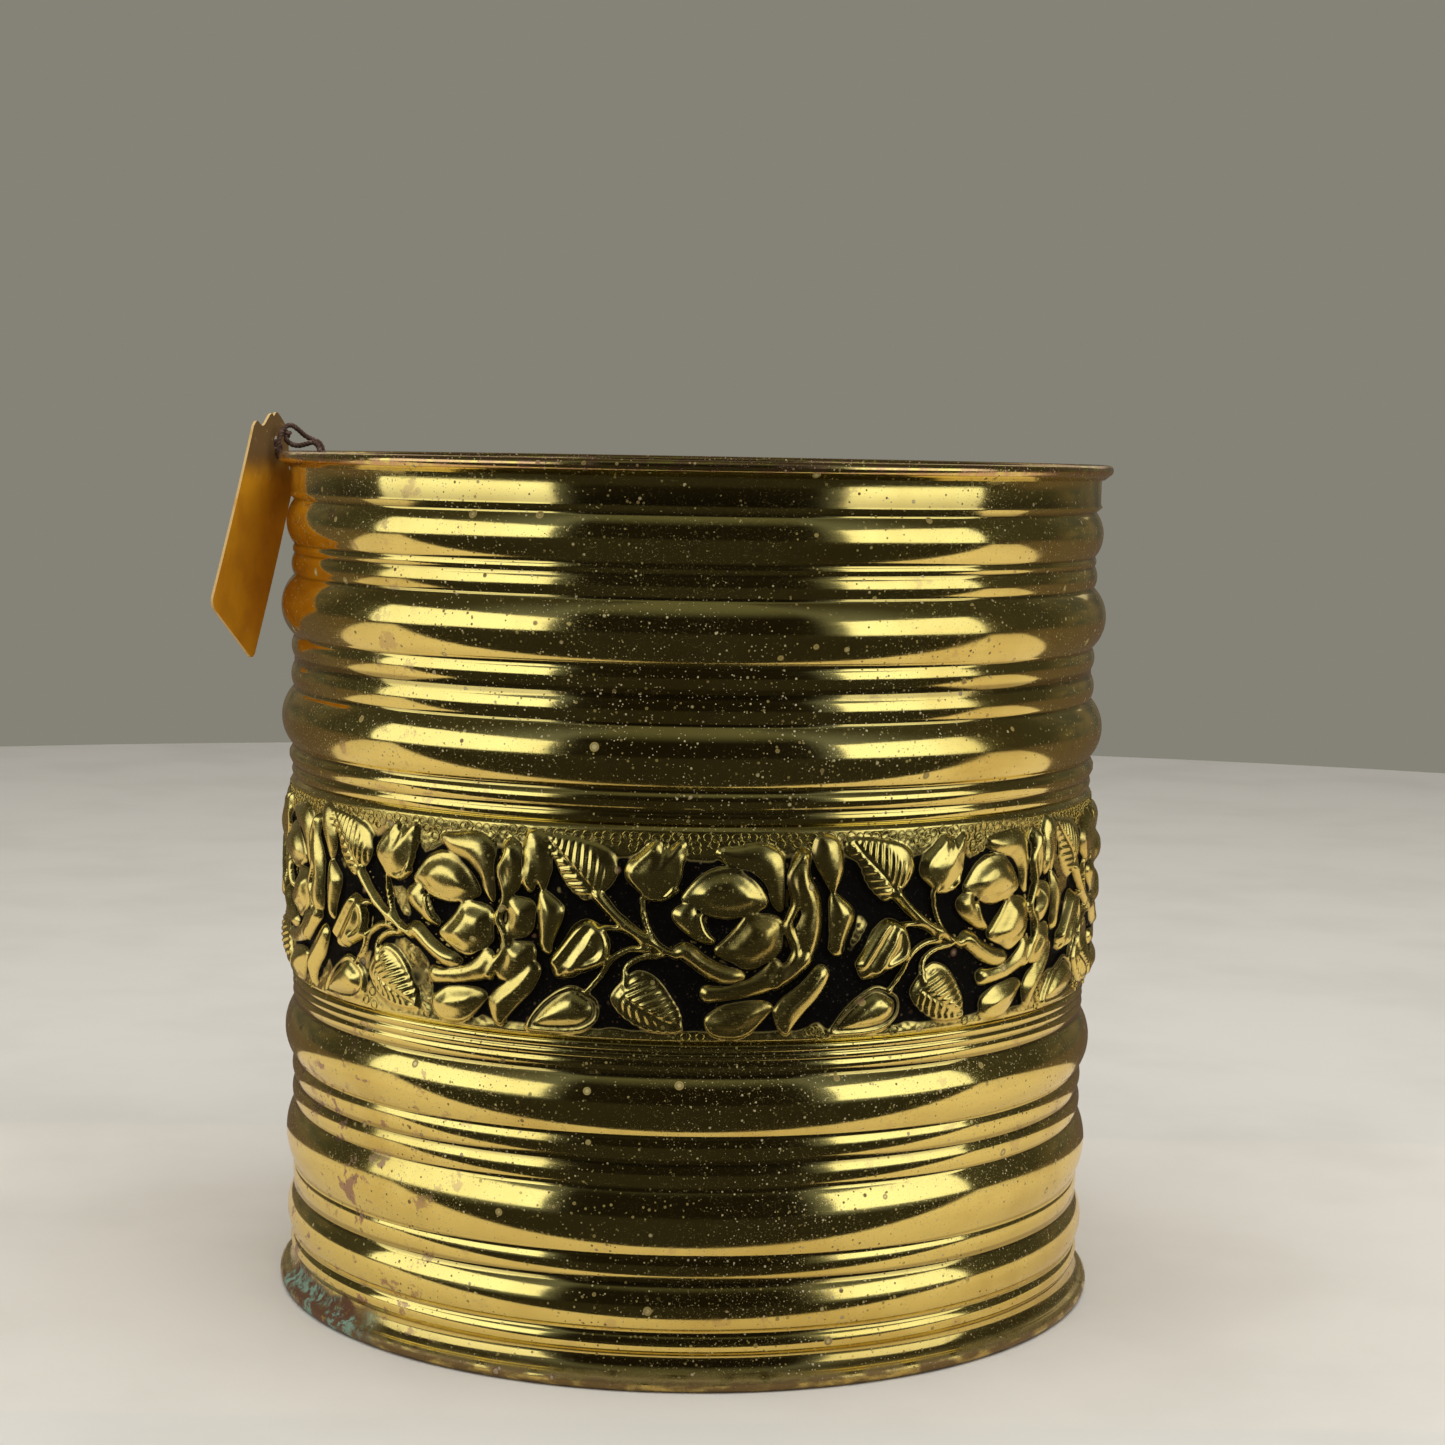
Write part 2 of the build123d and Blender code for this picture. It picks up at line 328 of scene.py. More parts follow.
        crowd = graph.noise(place, 21.0, 3.0).ramp(0.40, 0.62)
        fly = graph.spots(place, 1050.0, 0.5, 0.27) * crowd
        fly = fly.most(graph.spots(place, 560.0, 0.30, 0.24) * (0.35 + crowd * 0.65))
        fly = fly.most(graph.spots(place, 330.0, 0.10, 0.20) * 0.8)
        scratch = graph.noise(graph.vector(turn * 1.6, 0.0, height * 9.0), 1.0, 1.0).ramp(0.70, 0.76)
        fly = fly.most(scratch * fine.ramp(0.5, 0.6) * 0.5)
        grain = graph.noise(place, 2600.0, 1.0).ramp(0.66, 0.73)
        fly = fly.most(grain * graph.noise(place, 14.0, 3.0).ramp(0.36, 0.60) * 0.46)
        fly = fly * (1.0 - dark * 0.75) * (1.0 - worked * 0.6)
        gather = graph.noise(place, 34.0, 2.0).ramp(0.40, 0.58) * (1.0 - worked * 0.7)
        pepper = graph.spots(place, 640.0, 0.50, 0.30) * gather
        pepper = pepper.most(graph.spots(place, 330.0, 0.26, 0.26) * gather)
        colour = graph.mix(pepper * 0.85, colour, self.brown)
        blister = graph.spots(place, 118.0, 0.30, 0.19)
        heart = graph.spots(place, 118.0, 0.30, 0.12)
        halo = blister * (1.0 - heart)
        colour = graph.mix(fly * 0.85, colour, self.dust)
        colour = graph.mix(halo * 0.75, colour, self.rust)
        colour = graph.mix(heart * 0.45, colour, self.dust)
        pits = halo.most(heart * 0.6)

        crust = green.most(rust * 0.7).most(grime * 0.55).most(fly * 0.75).most(pits * 0.8).most(pepper * 0.7)
        rough = rough + crust * 0.45 + fine * 0.03 + dark * 0.25
        metal = (1.0 - dark * 0.95) * (1.0 - crust)
        relief = brush * 0.35 + fine * 0.3 + crust * 1.4 + cloud * 0.5 + worked * hatch * 0.45
        return {
            "Base Color": colour,
            "Metallic": metal,
            "Roughness": rough,
            "Normal": graph.bump(relief, 0.35, 0.00003),
            "IOR": 1.12,
        }


@dataclass(frozen=True)
class DullMetal(Finish):
    """Metal that nobody polishes: the pan, the wires and the solder."""

    name: str = "dull_metal"
    light: Colour = (0.5, 0.5, 0.5, 1.0)
    dark: Colour = (0.2, 0.2, 0.2, 1.0)
    rough: float = 0.4
    spread: float = 40.0

    def sockets(self, graph: Graph) -> dict[str, object]:
        """Cloudy metal with fine scratches and pits."""
        place = graph.place()
        cloud = graph.noise(place, self.spread, 5.0, 0.6)
        scratch = graph.noise(place, self.spread * 18.0, 2.0)
        pits = graph.spots(place, self.spread * 9.0, 0.2, 0.2)
        colour = graph.mix(cloud.ramp(0.36, 0.66), self.light, self.dark)
        colour = graph.mix(pits * 0.7, colour, self.dark)
        return {
            "Base Color": colour,
            "Metallic": 1.0 - pits * 0.5,
            "Roughness": self.rough + cloud * 0.2 + scratch * 0.1,
            "Normal": graph.bump(scratch * 0.5 + cloud, 0.4, 0.00006),
        }


@dataclass(frozen=True)
class MustardCard(Finish):
    """Matt mustard card: cloudy dye, paper fibres and a few rubbed spots, with painted light: dull brown
    above the rim's height as painted shade, and below it a bright orange that stands partly for the light the
    brass reflects onto the card.
    """

    name: str = "mustard_card"
    dye: Colour = (0.95, 0.44, 0.012, 1.0)
    worn: Colour = (0.80, 0.33, 0.010, 1.0)
    # Painted shade: the dull brown of the card above the rim's height, where no light reflected from the
    # brass falls.
    soil_and_painted_shade: Colour = (0.21, 0.115, 0.035, 1.0)
    rubbed: Colour = (0.92, 0.55, 0.12, 1.0)
    # The heights where the bright orange below gives way to the painted shade above.
    lit_below: float = 0.252
    painted_shade_above: float = 0.262

    def sockets(self, graph: Graph) -> dict[str, object]:
        """Colour, roughness and fibre bump."""
        place = graph.place()
        cloud = graph.noise(place, 70.0, 4.0)
        fibre = graph.noise(place, 1600.0, 3.0, 0.7)
        rub = graph.noise(place, 320.0, 4.0).ramp(0.62, 0.74)
        _, _, z = graph.parts(place)
        colour = graph.mix(cloud.ramp(0.35, 0.68), self.dye, self.worn)
        # Painted light: above the rim's height the card turns to the painted shade; below it keeps the bright
        # orange that stands partly for light reflected from the brass.
        colour = graph.mix((z + cloud * 0.006).ramp(self.lit_below, self.painted_shade_above), colour, self.soil_and_painted_shade)
        colour = graph.mix(rub * 0.4, colour, self.rubbed)
        return {
            "Base Color": colour,
            "Roughness": 0.72 + fibre * 0.2,
            "Normal": graph.bump(fibre + cloud * 0.4, 0.5, 0.00005),
        }


@dataclass(frozen=True)
class CutEdge(Finish):
    """The card's cut edge, where the pale core shows through the dye."""

    name: str = "cut_card_edge"
    core: Colour = (0.62, 0.42, 0.17, 1.0)
    dyed: Colour = (0.55, 0.31, 0.05, 1.0)

    def sockets(self, graph: Graph) -> dict[str, object]:
        """Colour and a layered bump."""
        place = graph.place()
        layers = graph.noise(place, 1900.0, 3.0)
        soil_and_painted_shade = graph.noise(place, 160.0, 3.0).ramp(0.5, 0.7)
        return {
            "Base Color": graph.mix(soil_and_painted_shade, self.core, self.dyed),
            "Roughness": 0.85,
            "Normal": graph.bump(layers, 0.5, 0.00005),
        }


@dataclass(frozen=True)
class WaxedThread(Finish):
    """Dark brown waxed linen: fibres along each strand and bloom on the wax."""

    name: str = "waxed_thread"
    brown: Colour = (0.085, 0.045, 0.030, 1.0)
    bloom: Colour = (0.26, 0.17, 0.13, 1.0)

    def sockets(self, graph: Graph) -> dict[str, object]:
        """Colour, wax gloss and fibre bump."""
        place = graph.place()
        fibre = graph.noise(place, 2600.0, 3.0, 0.7)
        wax = graph.noise(place, 480.0, 3.0).ramp(0.48, 0.72)
        return {
            "Base Color": graph.mix(wax * 0.7, self.brown, self.bloom),
            "Roughness": 0.42 + fibre * 0.3,
            "Normal": graph.bump(fibre, 0.6, 0.00008),
        }


@dataclass(frozen=True)
class PaleFloor(Finish):
    """A plain off-white painted surface."""

    name: str = "pale_floor"
    paint: Colour = (0.74, 0.71, 0.65, 1.0)
    shade: Colour = (0.69, 0.66, 0.60, 1.0)

    def sockets(self, graph: Graph) -> dict[str, object]:
        """Faintly cloudy matt paint."""
        place = graph.place()
        cloud = graph.noise(place, 9.0, 5.0)
        return {
            "Base Color": graph.mix(cloud.ramp(0.4, 0.7), self.paint, self.shade),
            "Roughness": 0.6,
            "Normal": graph.bump(graph.noise(place, 260.0, 3.0), 0.2, 0.0002),
        }


BRASS = AgedBrass()
# Painted light: the board's warm paint stands for light bounced from the brass onto the shelf, which the
# brass mirrors.
BOUNCE = PaleFloor("warm_bounce", (0.78, 0.64, 0.50, 1.0), (0.73, 0.59, 0.45, 1.0))
PAN_BRASS = DullMetal("pan_brass", (0.46, 0.34, 0.13, 1.0), (0.24, 0.16, 0.06, 1.0), 0.34, 30.0)
STEEL_WIRE = DullMetal("steel_wire", (0.42, 0.40, 0.38, 1.0), (0.16, 0.11, 0.08, 1.0), 0.42, 90.0)
SOLDER = DullMetal("solder", (0.50, 0.50, 0.49, 1.0), (0.22, 0.21, 0.20, 1.0), 0.38, 120.0)


# ---- meshes ---------------------------------------------------------------------------------------


def make_object(name: str, mesh: bpy.types.Mesh, *finishes: Finish) -> bpy.types.Object:
    """Puts a mesh in the scene.

    Args:
        name: the piece's name.
        mesh: its mesh, in metres.
        finishes: its finishes, in the order of its material slots.

    Returns:
        The piece.
    """
    mesh.name = name
    mesh.materials.clear()
    for finish in finishes:
        mesh.materials.append(finish.material())
    piece = bpy.data.objects.new(name, mesh)
    bpy.context.scene.collection.objects.link(piece)
    return piece


def make_mesh(points_mm: np.ndarray, faces: Sequence[Sequence[int]] | np.ndarray) -> bpy.types.Mesh:
    """A smooth mesh from points in millimetres and faces of three or four corners."""
    mesh = bpy.data.meshes.new("mesh")
    corners = [list(map(int, face)) for face in faces]
    mesh.from_pydata((np.asarray(points_mm) * MM).tolist(), [], corners)
    mesh.polygons.foreach_set("use_smooth", [True] * len(mesh.polygons))
    return mesh


def set_numbers(mesh: bpy.types.Mesh, name: str, values: np.ndarray) -> None:
    """Stores one number for each point of a mesh."""
    layer = mesh.attributes.get(name) or mesh.attributes.new(name, "FLOAT", "POINT")
    layer.data.foreach_set("value", np.asarray(values, dtype=np.float32))


def points_of(mesh: bpy.types.Mesh) -> np.ndarray:
    """The points of a mesh, in millimetres."""
    flat = np.empty(3 * len(mesh.vertices), dtype=np.float32)
    mesh.vertices.foreach_get("co", flat)
    return flat.reshape(-1, 3) / MM


def attach(piece: bpy.types.Object, body: Body, slot: str, *nodes: str) -> bpy.types.Object:
    """Makes a finished piece ride on its body.

    Args:
        piece: the piece.
        body: what it rides on.
        slot: not used.
        nodes: the frame's nodes that it stands for.

    Returns:
        The piece.
    """
    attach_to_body(piece, body.value)
    if nodes:
        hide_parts(*nodes)
    log.info("%s: %d points, rides on %s", piece.name, len(piece.data.vertices), body.value)
    return piece


def round_tube(
    path: np.ndarray, radius: np.ndarray | float, sides: int, closed: bool = False
) -> bpy.types.Mesh:
    """A tube round a line of points.

    Args:
        path: the points, in millimetres.
        radius: its radius, one for all points or one for each.
        sides: how many sides it has.
        closed: whether the end joins the start; otherwise both ends are capped.

    Returns:
        The tube's mesh.
    """
    count = len(path)
    ring_radius = np.broadcast_to(radius, count)
    side, other = turning_frames(path, closed)
    turn = np.linspace(0.0, 2 * np.pi, sides, endpoint=False)
    rings = (
        path[:, None, :]
        + ring_radius[:, None, None]
        * (np.cos(turn)[None, :, None] * side[:, None, :] + np.sin(turn)[None, :, None] * other[:, None, :])
    )
    faces = []
    for step in range(count if closed else count - 1):
        here = step * sides
        there = (step + 1) % count * sides
        faces += [
            (here + s, here + (s + 1) % sides, there + (s + 1) % sides, there + s) for s in range(sides)
        ]
    if not closed:
        faces.append(tuple(range(sides))[::-1])
        faces.append(tuple((count - 1) * sides + s for s in range(sides)))
    return make_mesh(rings.reshape(-1, 3), faces)


def turning_frames(path: np.ndarray, closed: bool) -> tuple[np.ndarray, np.ndarray]:
    """Two directions across a line at each of its points, which turn as little as they can."""
    if closed:
        along = np.roll(path, -1, axis=0) - np.roll(path, 1, axis=0)
    else:
        along = np.gradient(path, axis=0)
    along /= np.linalg.norm(along, axis=1)[:, None]
    side = np.empty_like(path)
    start = np.cross(along[0], (0.31, 0.52, 0.79))
    side[0] = start / np.linalg.norm(start)
    for step in range(1, len(path)):
        across = side[step - 1] - along[step] * np.dot(side[step - 1], along[step])
        side[step] = across / np.linalg.norm(across)
    other = np.cross(along, side)
    if closed:
        back = side[-1] - along[0] * np.dot(side[-1], along[0])
        slip = math.atan2(float(np.dot(back, other[0])), float(np.dot(back, side[0])))
        undo = -slip * np.arange(len(path)) / len(path)
        cos, sin = np.cos(undo)[:, None], np.sin(undo)[:, None]
        side, other = side * cos + other * sin, other * cos - side * sin
    return side, other


def through(points: Sequence[Pair], steps: int, closed: bool) -> np.ndarray:
    """A smooth line through points, as a row of points."""
    knots = np.asarray(points, dtype=float)
    if closed:
        ends = [knots[-1:], knots, knots[:2]]
        spans = len(knots)
    else:
        ends = [2 * knots[:1] - knots[1:2], knots, 2 * knots[-1:] - knots[-2:-1]]
        spans = len(knots) - 1
    padded = np.vstack(ends)
    part = np.linspace(0.0, 1.0, steps, endpoint=False)[:, None]
    rows = []
    for span in range(spans):
        a, b, c, d = padded[span : span + 4]
        square = (2 * a - 5 * b + 4 * c - d) * part**2
        cube = (3 * b - a - 3 * c + d) * part**3
        rows.append(0.5 * (2 * b + (c - a) * part + square + cube))
    if not closed:
        rows.append(knots[-1:])
    return np.vstack(rows)


def ease(values: np.ndarray, low: float, high: float) -> np.ndarray:
    """0 at low and 1 at high, eased at both ends."""
    part = np.clip((values - low) / (high - low), 0.0, 1.0)
    return part * part * (3 - 2 * part)


# ---- the drum -------------------------------------------------------------------------------------


@dataclass(frozen=True)
class Rib:
    """One swaged rib: its top and foot heights, and how far its crown stands out of the valley line."""

    top: float
    foot: float
    rise: float


@dataclass(frozen=True)
class DrumShape:
    """The driving sizes of the drum's sheet."""

    height: float = 260.0
    rim_radius: float = 130.5
    sheet: float = 0.6
    valley_top: float = 125.7
    valley_foot: float = 124.3
    rim_wire: float = 1.1
    rim_tail: float = -52.0
    tail_length: float = 2.6
    neck_radius: float = 126.9
    neck_top: float = 254.4
    neck_foot: float = 248.0
    step_crown: Pair = (127.4, 246.9)
    foot_radius: float = 129.2
    foot_wire: float = 1.6
    foot_flat: float = 0.05
    foot_tail: float = -188.0
    flare_top: float = 9.5
    flare_sag: Pair = (0.25, 0.42)
    band_top: float = 158.2
    band_foot: float = 99.8
    band_radius: float = 126.4
    upper: tuple[Rib, ...] = (
        Rib(245.4, 231.6, 2.4),
        Rib(231.6, 228.8, 0.5),
        Rib(228.8, 222.0, 0.9),
        Rib(222.0, 203.5, 4.0),
        Rib(203.5, 197.0, 0.9),
        Rib(195.0, 187.5, 1.0),
        Rib(187.5, 169.2, 3.9),
        Rib(169.2, 163.6, 1.7),
        Rib(163.6, 159.6, 0.9),
    )
    lower: tuple[Rib, ...] = (
        Rib(98.6, 95.9, 0.8),
        Rib(95.9, 93.5, 0.7),
        Rib(93.5, 90.4, 0.7),
        Rib(89.2, 71.8, 3.1),
        Rib(71.8, 65.0, 0.9),
        Rib(64.0, 57.2, 0.9),
        Rib(57.2, 37.8, 2.8),
        Rib(37.8, 31.2, 0.8),
        Rib(29.8, 15.8, 2.5),
        Rib(15.8, 9.5, 1.5),
    )

    def valley(self, height: float) -> float:
        """Outer radius between the ribs."""
        return self.valley_foot + (self.valley_top - self.valley_foot) * height / self.height

    def creases(self) -> list[float]:
        """The heights of the sharp lines between ribs, where polish never reaches."""
        ends = {rib.top for rib in self.upper + self.lower} | {rib.foot for rib in self.upper + self.lower}
        return sorted(ends | {self.neck_foot, self.step_crown[1] - 1.2})


def arc_through(start: Pair, middle: Pair, end: Pair, steps: int) -> list[Pair]:
    """Points on the circular arc through three points, ends included."""
    a, b, c = (complex(*point) for point in (start, middle, end))
    w = (c - a) / (b - a)
    centre = (b - a) * (w - abs(w) ** 2) / (2j * w.imag) + a
    first = np.angle(a - centre)
    sweep = np.angle((c - centre) / (a - centre))
    half = np.angle((b - centre) / (a - centre))
    if sweep * half < 0:
        sweep -= math.copysign(2 * math.pi, sweep)
    turns = first + sweep * np.linspace(0.0, 1.0, steps + 1)
    on_arc = centre + abs(a - centre) * np.exp(1j * turns)
    return [(float(p.real), float(p.imag)) for p in on_arc]


@dataclass
class Drum:
    """The drum's ribbed sheet above and below the rose band, and the lap of its back seam."""

    shape: DrumShape
    segments: int = 360
    wobble: float = 0.11
    lap_degrees: float = 4.0

    def rib_line(self, ribs: Sequence[Rib], inset: float, fineness: float) -> list[Pair]:
        """One face of a run of ribs, from the top down, as radius and height."""
        line: list[Pair] = []
        for rib in ribs:
            middle = (rib.top + rib.foot) / 2
            start = (self.shape.valley(rib.top) - inset, rib.top)
            crown = (self.shape.valley(middle) + rib.rise - inset, middle)
            end = (self.shape.valley(rib.foot) - inset, rib.foot)
            steps = max(4, round((rib.top - rib.foot) * fineness))
            arc = arc_through(start, crown, end, steps)
            line += arc if not line or math.dist(line[-1], arc[0]) > 0.01 else arc[1:]
        return line

    def curl(self, centre: Pair, radius: float, start: float, end: float, steps: int) -> list[Pair]:
        """Points round a rolled edge, between two angles from straight out."""
        turns = np.radians(np.linspace(start, end, steps + 1))
        return [(centre[0] + radius * math.cos(t), centre[1] + radius * math.sin(t)) for t in turns]

    def rim_line(self, radius: float) -> list[Pair]:
        """One face of the rim's curl, from its tail over the wire to the inside."""
        roll = self.shape.rim_wire + self.shape.sheet
        centre = (self.shape.rim_radius - roll, self.shape.height - roll)
        arc = self.curl(centre, radius, self.shape.rim_tail, 180.0, 18)
        slope = math.radians(self.shape.rim_tail)
        reach = self.shape.tail_length
        tail = (arc[0][0] + math.sin(slope) * reach, arc[0][1] - math.cos(slope) * reach)
        return [tail, *arc]

    def foot_line(self, radius: float) -> list[Pair]:
        """One face of the foot's curl, from over the wire out, under and up inside."""
        roll = self.shape.foot_wire + self.shape.sheet
        centre = (self.shape.foot_radius - roll, roll - self.shape.foot_flat)
        arc = self.curl(centre, radius, 90.0, self.shape.foot_tail, 26)
        return [(r, max(z, 0.0)) for r, z in arc]

    def upper_section(self) -> list[Pair]:
        """The closed section from the rim's curl down to the top of the rose band."""
        shape = self.shape

        def face(inset: float, fineness: float) -> list[Pair]:
            """The neck and the ribs at one face of the sheet."""
            neck = [(shape.neck_radius - inset, shape.neck_top), (shape.neck_radius - inset, shape.neck_foot)]
            step = [(shape.step_crown[0] - inset, shape.step_crown[1])]
            return neck + step + self.rib_line(shape.upper, inset, fineness)

        outside = self.rim_line(shape.rim_wire) + face(0.0, 0.95)
        inside = self.rim_line(shape.rim_wire + shape.sheet) + face(shape.sheet, 0.5)
        return outside + inside[::-1]

    def lower_section(self) -> list[Pair]:
        """The closed section from the foot of the rose band down to the foot's roll."""
        shape = self.shape
        centre = shape.foot_radius - shape.foot_wire - shape.sheet

        def face(inset: float, fineness: float) -> list[Pair]:
            """The ribs and the flare at one face of the sheet."""
            start = (shape.valley(shape.flare_top) - inset, shape.flare_top)
            top = 2 * (shape.foot_wire + shape.sheet) - shape.foot_flat - inset
            end = (centre, top)
            out, down = shape.flare_sag
            middle = (start[0] + (end[0] - start[0]) * out, top + (start[1] - top) * down)
            return self.rib_line(shape.lower, inset, fineness) + arc_through(start, middle, end, 9)[1:-1]

        outside = face(0.0, 0.95) + self.foot_line(shape.foot_wire + shape.sheet)
        inside = face(shape.sheet, 0.5) + self.foot_line(shape.foot_wire)
        return outside + inside[::-1]

    def lap_section(self) -> list[Pair]:
        """The closed section of the seam's outer layer, from the neck to the flare."""
        shape = self.shape
        band = [(shape.band_radius, shape.band_top), (shape.band_radius, shape.band_foot)]
        ribs = self.rib_line(shape.upper, 0.0, 0.6) + band + self.rib_line(shape.lower, 0.0, 0.6)
        neck = [(shape.neck_radius, shape.neck_top), (shape.neck_radius, shape.neck_foot), shape.step_crown]
        line = neck + ribs
        return [(r + shape.sheet, z) for r, z in line] + [(r - 0.1, z) for r, z in line[::-1]]

    @staticmethod
    def turning_tree() -> bpy.types.NodeTree:
        """A Geometry Nodes tree that turns a closed section round the upright axis.

        Returns:
            The tree. Its inputs are the section, the path's radius, its segments, the sweep and the
            slight waviness that hand polishing leaves.
        """
        tree = bpy.data.node_groups.new("turned_sheet", "GeometryNodeTree")
        face = tree.interface
        face.new_socket("Geometry", in_out="OUTPUT", socket_type="NodeSocketGeometry")
        for name, kind in (
            ("Section", "NodeSocketObject"),
            ("Radius", "NodeSocketFloat"),
            ("Segments", "NodeSocketInt"),
            ("Sweep", "NodeSocketFloat"),
            ("Start", "NodeSocketFloat"),
            ("Full Turn", "NodeSocketBool"),
            ("Waviness", "NodeSocketFloat"),
            ("Finish", "NodeSocketMaterial"),
        ):
            face.new_socket(name, in_out="INPUT", socket_type=kind)
        graph = Graph(tree)
        given = graph.add("NodeGroupInput", output="Section")
        section = graph.add("GeometryNodeObjectInfo", None, {"Object": given}, output="Geometry")
        ring = graph.add(
            "GeometryNodeCurvePrimitiveCircle",
            {"mode": "RADIUS"},
            {"Resolution": given.out("Segments"), "Radius": given.out("Radius")},
        )
        part = graph.add(
            "GeometryNodeCurveArc",
            {"mode": "RADIUS"},
            {
                "Resolution": given.out("Segments"),
                "Radius": given.out("Radius"),
                "Start Angle": given.out("Start"),
                "Sweep Angle": given.out("Sweep"),
            },
        )
        path = graph.add(
            "GeometryNodeSwitch",
            {"input_type": "GEOMETRY"},
            {"Switch": given.out("Full Turn"), "False": part, "True": ring},
        )
        sheet = graph.add(
            "GeometryNodeCurveToMesh", None, {"Curve": path, "Profile Curve": section, "Fill Caps": True}
        )
        spot = graph.add("GeometryNodeInputPosition")
        x, y, z = graph.parts(spot)
        ripple = graph.noise(spot, 34.0, 1.0) - 0.5
        swell = graph.noise(graph.vector(x, y, z * 0.35), 15.0, 1.0) - 0.5
        push = (ripple * 0.8 + swell * 1.2) * given.out("Waviness")
        flat = graph.add("ShaderNodeVectorMath", {"operation": "NORMALIZE"}, {0: graph.vector(x, y, 0.0)})
        offset = graph.add("ShaderNodeVectorMath", {"operation": "SCALE"}, {0: flat, "Scale": push})
        moved = graph.add("GeometryNodeSetPosition", None, {"Geometry": sheet, "Offset": offset})
        smooth = graph.add("GeometryNodeSetShadeSmooth", None, {"Geometry": moved})
        real = graph.add("GeometryNodeRealizeInstances", None, {"Geometry": smooth})
        done = graph.add(
            "GeometryNodeSetMaterial", None, {"Geometry": real, "Material": given.out("Finish")}
        )
        graph.finish(done)
        return tree

    def turned(
        self, name: str, section: list[Pair], tree: bpy.types.NodeTree, full: bool
    ) -> bpy.types.Object:
        """A section turned into a piece of sheet.

        Args:
            name: the piece's name.
            section: its closed section, as radius and height.
            tree: the turning tree.
            full: whether it goes all the way round, rather than only over the seam's lap.

        Returns:
            The piece, as a plain mesh with its "hollow" and "inside" numbers.
        """
        outline = bpy.data.curves.new(name + "_section", "CURVE")
        outline.dimensions = "2D"
        spline = outline.splines.new("POLY")
        spline.points.add(len(section) - 1)
        for point, (radius, height) in zip(spline.points, section):
            point.co = ((radius - self.shape.neck_radius) * MM, -height * MM, 0.0, 1.0)
        spline.use_cyclic_u = True
        profile = bpy.data.objects.new(name + "_section", outline)
        bpy.context.scene.collection.objects.link(profile)
        sweep = math.radians(self.lap_degrees)
        mesh = run_tree(
            tree,
            bpy.data.meshes.new("empty"),
            {
                "Section": profile,
                "Radius": self.shape.neck_radius * MM,
                "Segments": self.segments if full else 9,
                "Sweep": sweep,
                "Start": math.pi / 2 - sweep / 2,
                "Full Turn": full,
                "Waviness": self.wobble * MM,
                "Finish": BRASS.material(),
            },
        )
        bpy.data.objects.remove(profile)
        return self.marked(make_object(name, face_outwards(mesh), BRASS))

    def marked(self, piece: bpy.types.Object) -> bpy.types.Object:
        """Stores where the sheet is creased, and which of it is inside."""
        points = points_of(piece.data)
        radius = np.hypot(points[:, 0], points[:, 1])
        height = points[:, 2]
        hollow = np.zeros(len(points))
        for crease in self.shape.creases():
            hollow = np.maximum(hollow, 0.34 * np.exp(-(((height - crease) / 0.45) ** 2)))
        levels, outer = self.outer_line()
        inside = ease(np.interp(height, levels, outer) - radius, 0.25, 0.45)
        inside *= ease(self.shape.height - height, 5.0, 9.0)
        set_numbers(piece.data, "hollow", hollow * (1 - inside))
        set_numbers(piece.data, "inside", inside)
        return piece

    def outer_line(self) -> tuple[list[float], list[float]]:
        """Heights going up, and the sheet's outer radius at each."""
        line = self.rib_line(self.shape.upper, 0.0, 0.95) + self.rib_line(self.shape.lower, 0.0, 0.95)
        line = sorted([*line, (self.shape.neck_radius, self.shape.neck_foot)], key=lambda point: point[1])
        return [z for _, z in line], [r for r, _ in line]

    def build(self) -> list[bpy.types.Object]:
        """The upper and lower sheet and the seam's lap."""
        tree = self.turning_tree()
        pieces = [
            self.turned("upper_ribs", self.upper_section(), tree, True),
            self.turned("lower_ribs", self.lower_section(), tree, True),
            self.turned("back_seam_lap", self.lap_section(), tree, False),
        ]
        for piece in pieces:
            attach(piece, Body.BASKET, "brass", "drum_wall")
        return pieces


def run_tree(tree: bpy.types.NodeTree, mesh: bpy.types.Mesh, values: dict[str, object]) -> bpy.types.Mesh:
    """Runs a Geometry Nodes tree once.

    Args:
        tree: the tree.
        mesh: the mesh it is given.
        values: its inputs, by name.

    Returns:
        The result as a plain mesh.
    """
    carrier = bpy.data.objects.new("carrier", mesh)
    bpy.context.scene.collection.objects.link(carrier)
    modifier = carrier.modifiers.new("nodes", "NODES")
    modifier.node_group = tree
    sockets = {item.name: item.identifier for item in tree.interface.items_tree if item.in_out == "INPUT"}
    for name, value in values.items():
        modifier[sockets[name]] = value
    depsgraph = bpy.context.evaluated_depsgraph_get()
    depsgraph.update()
    result = bpy.data.meshes.new_from_object(carrier.evaluated_get(depsgraph))
    carrier.modifiers.clear()
    bpy.data.objects.remove(carrier)
    return result


def face_outwards(mesh: bpy.types.Mesh) -> bpy.types.Mesh:
    """Joins doubled points and turns every face of closed shells outwards."""
    work = bmesh.new()
    work.from_mesh(mesh)
    bmesh.ops.remove_doubles(work, verts=work.verts, dist=1e-6)
    bmesh.ops.recalc_face_normals(work, faces=work.faces)
    for face in work.faces:
        face.smooth = True
    work.to_mesh(mesh)
    work.free()
    return mesh


# ---- the rose band --------------------------------------------------------------------------------


@dataclass(frozen=True)
class Raised:
    """A raised form of the relief. Its outline is smooth and closed: degrees from the front, height."""

    rise: float
    crown: float
    outline: tuple[Pair, ...]
    lip: float = 0.0


@dataclass(frozen=True)
class Ridge:
    """A raised line of the relief, which may taper: its rise, half width at both ends, and route."""

    rise: float
    first: float
    last: float
    route: tuple[Pair, ...]


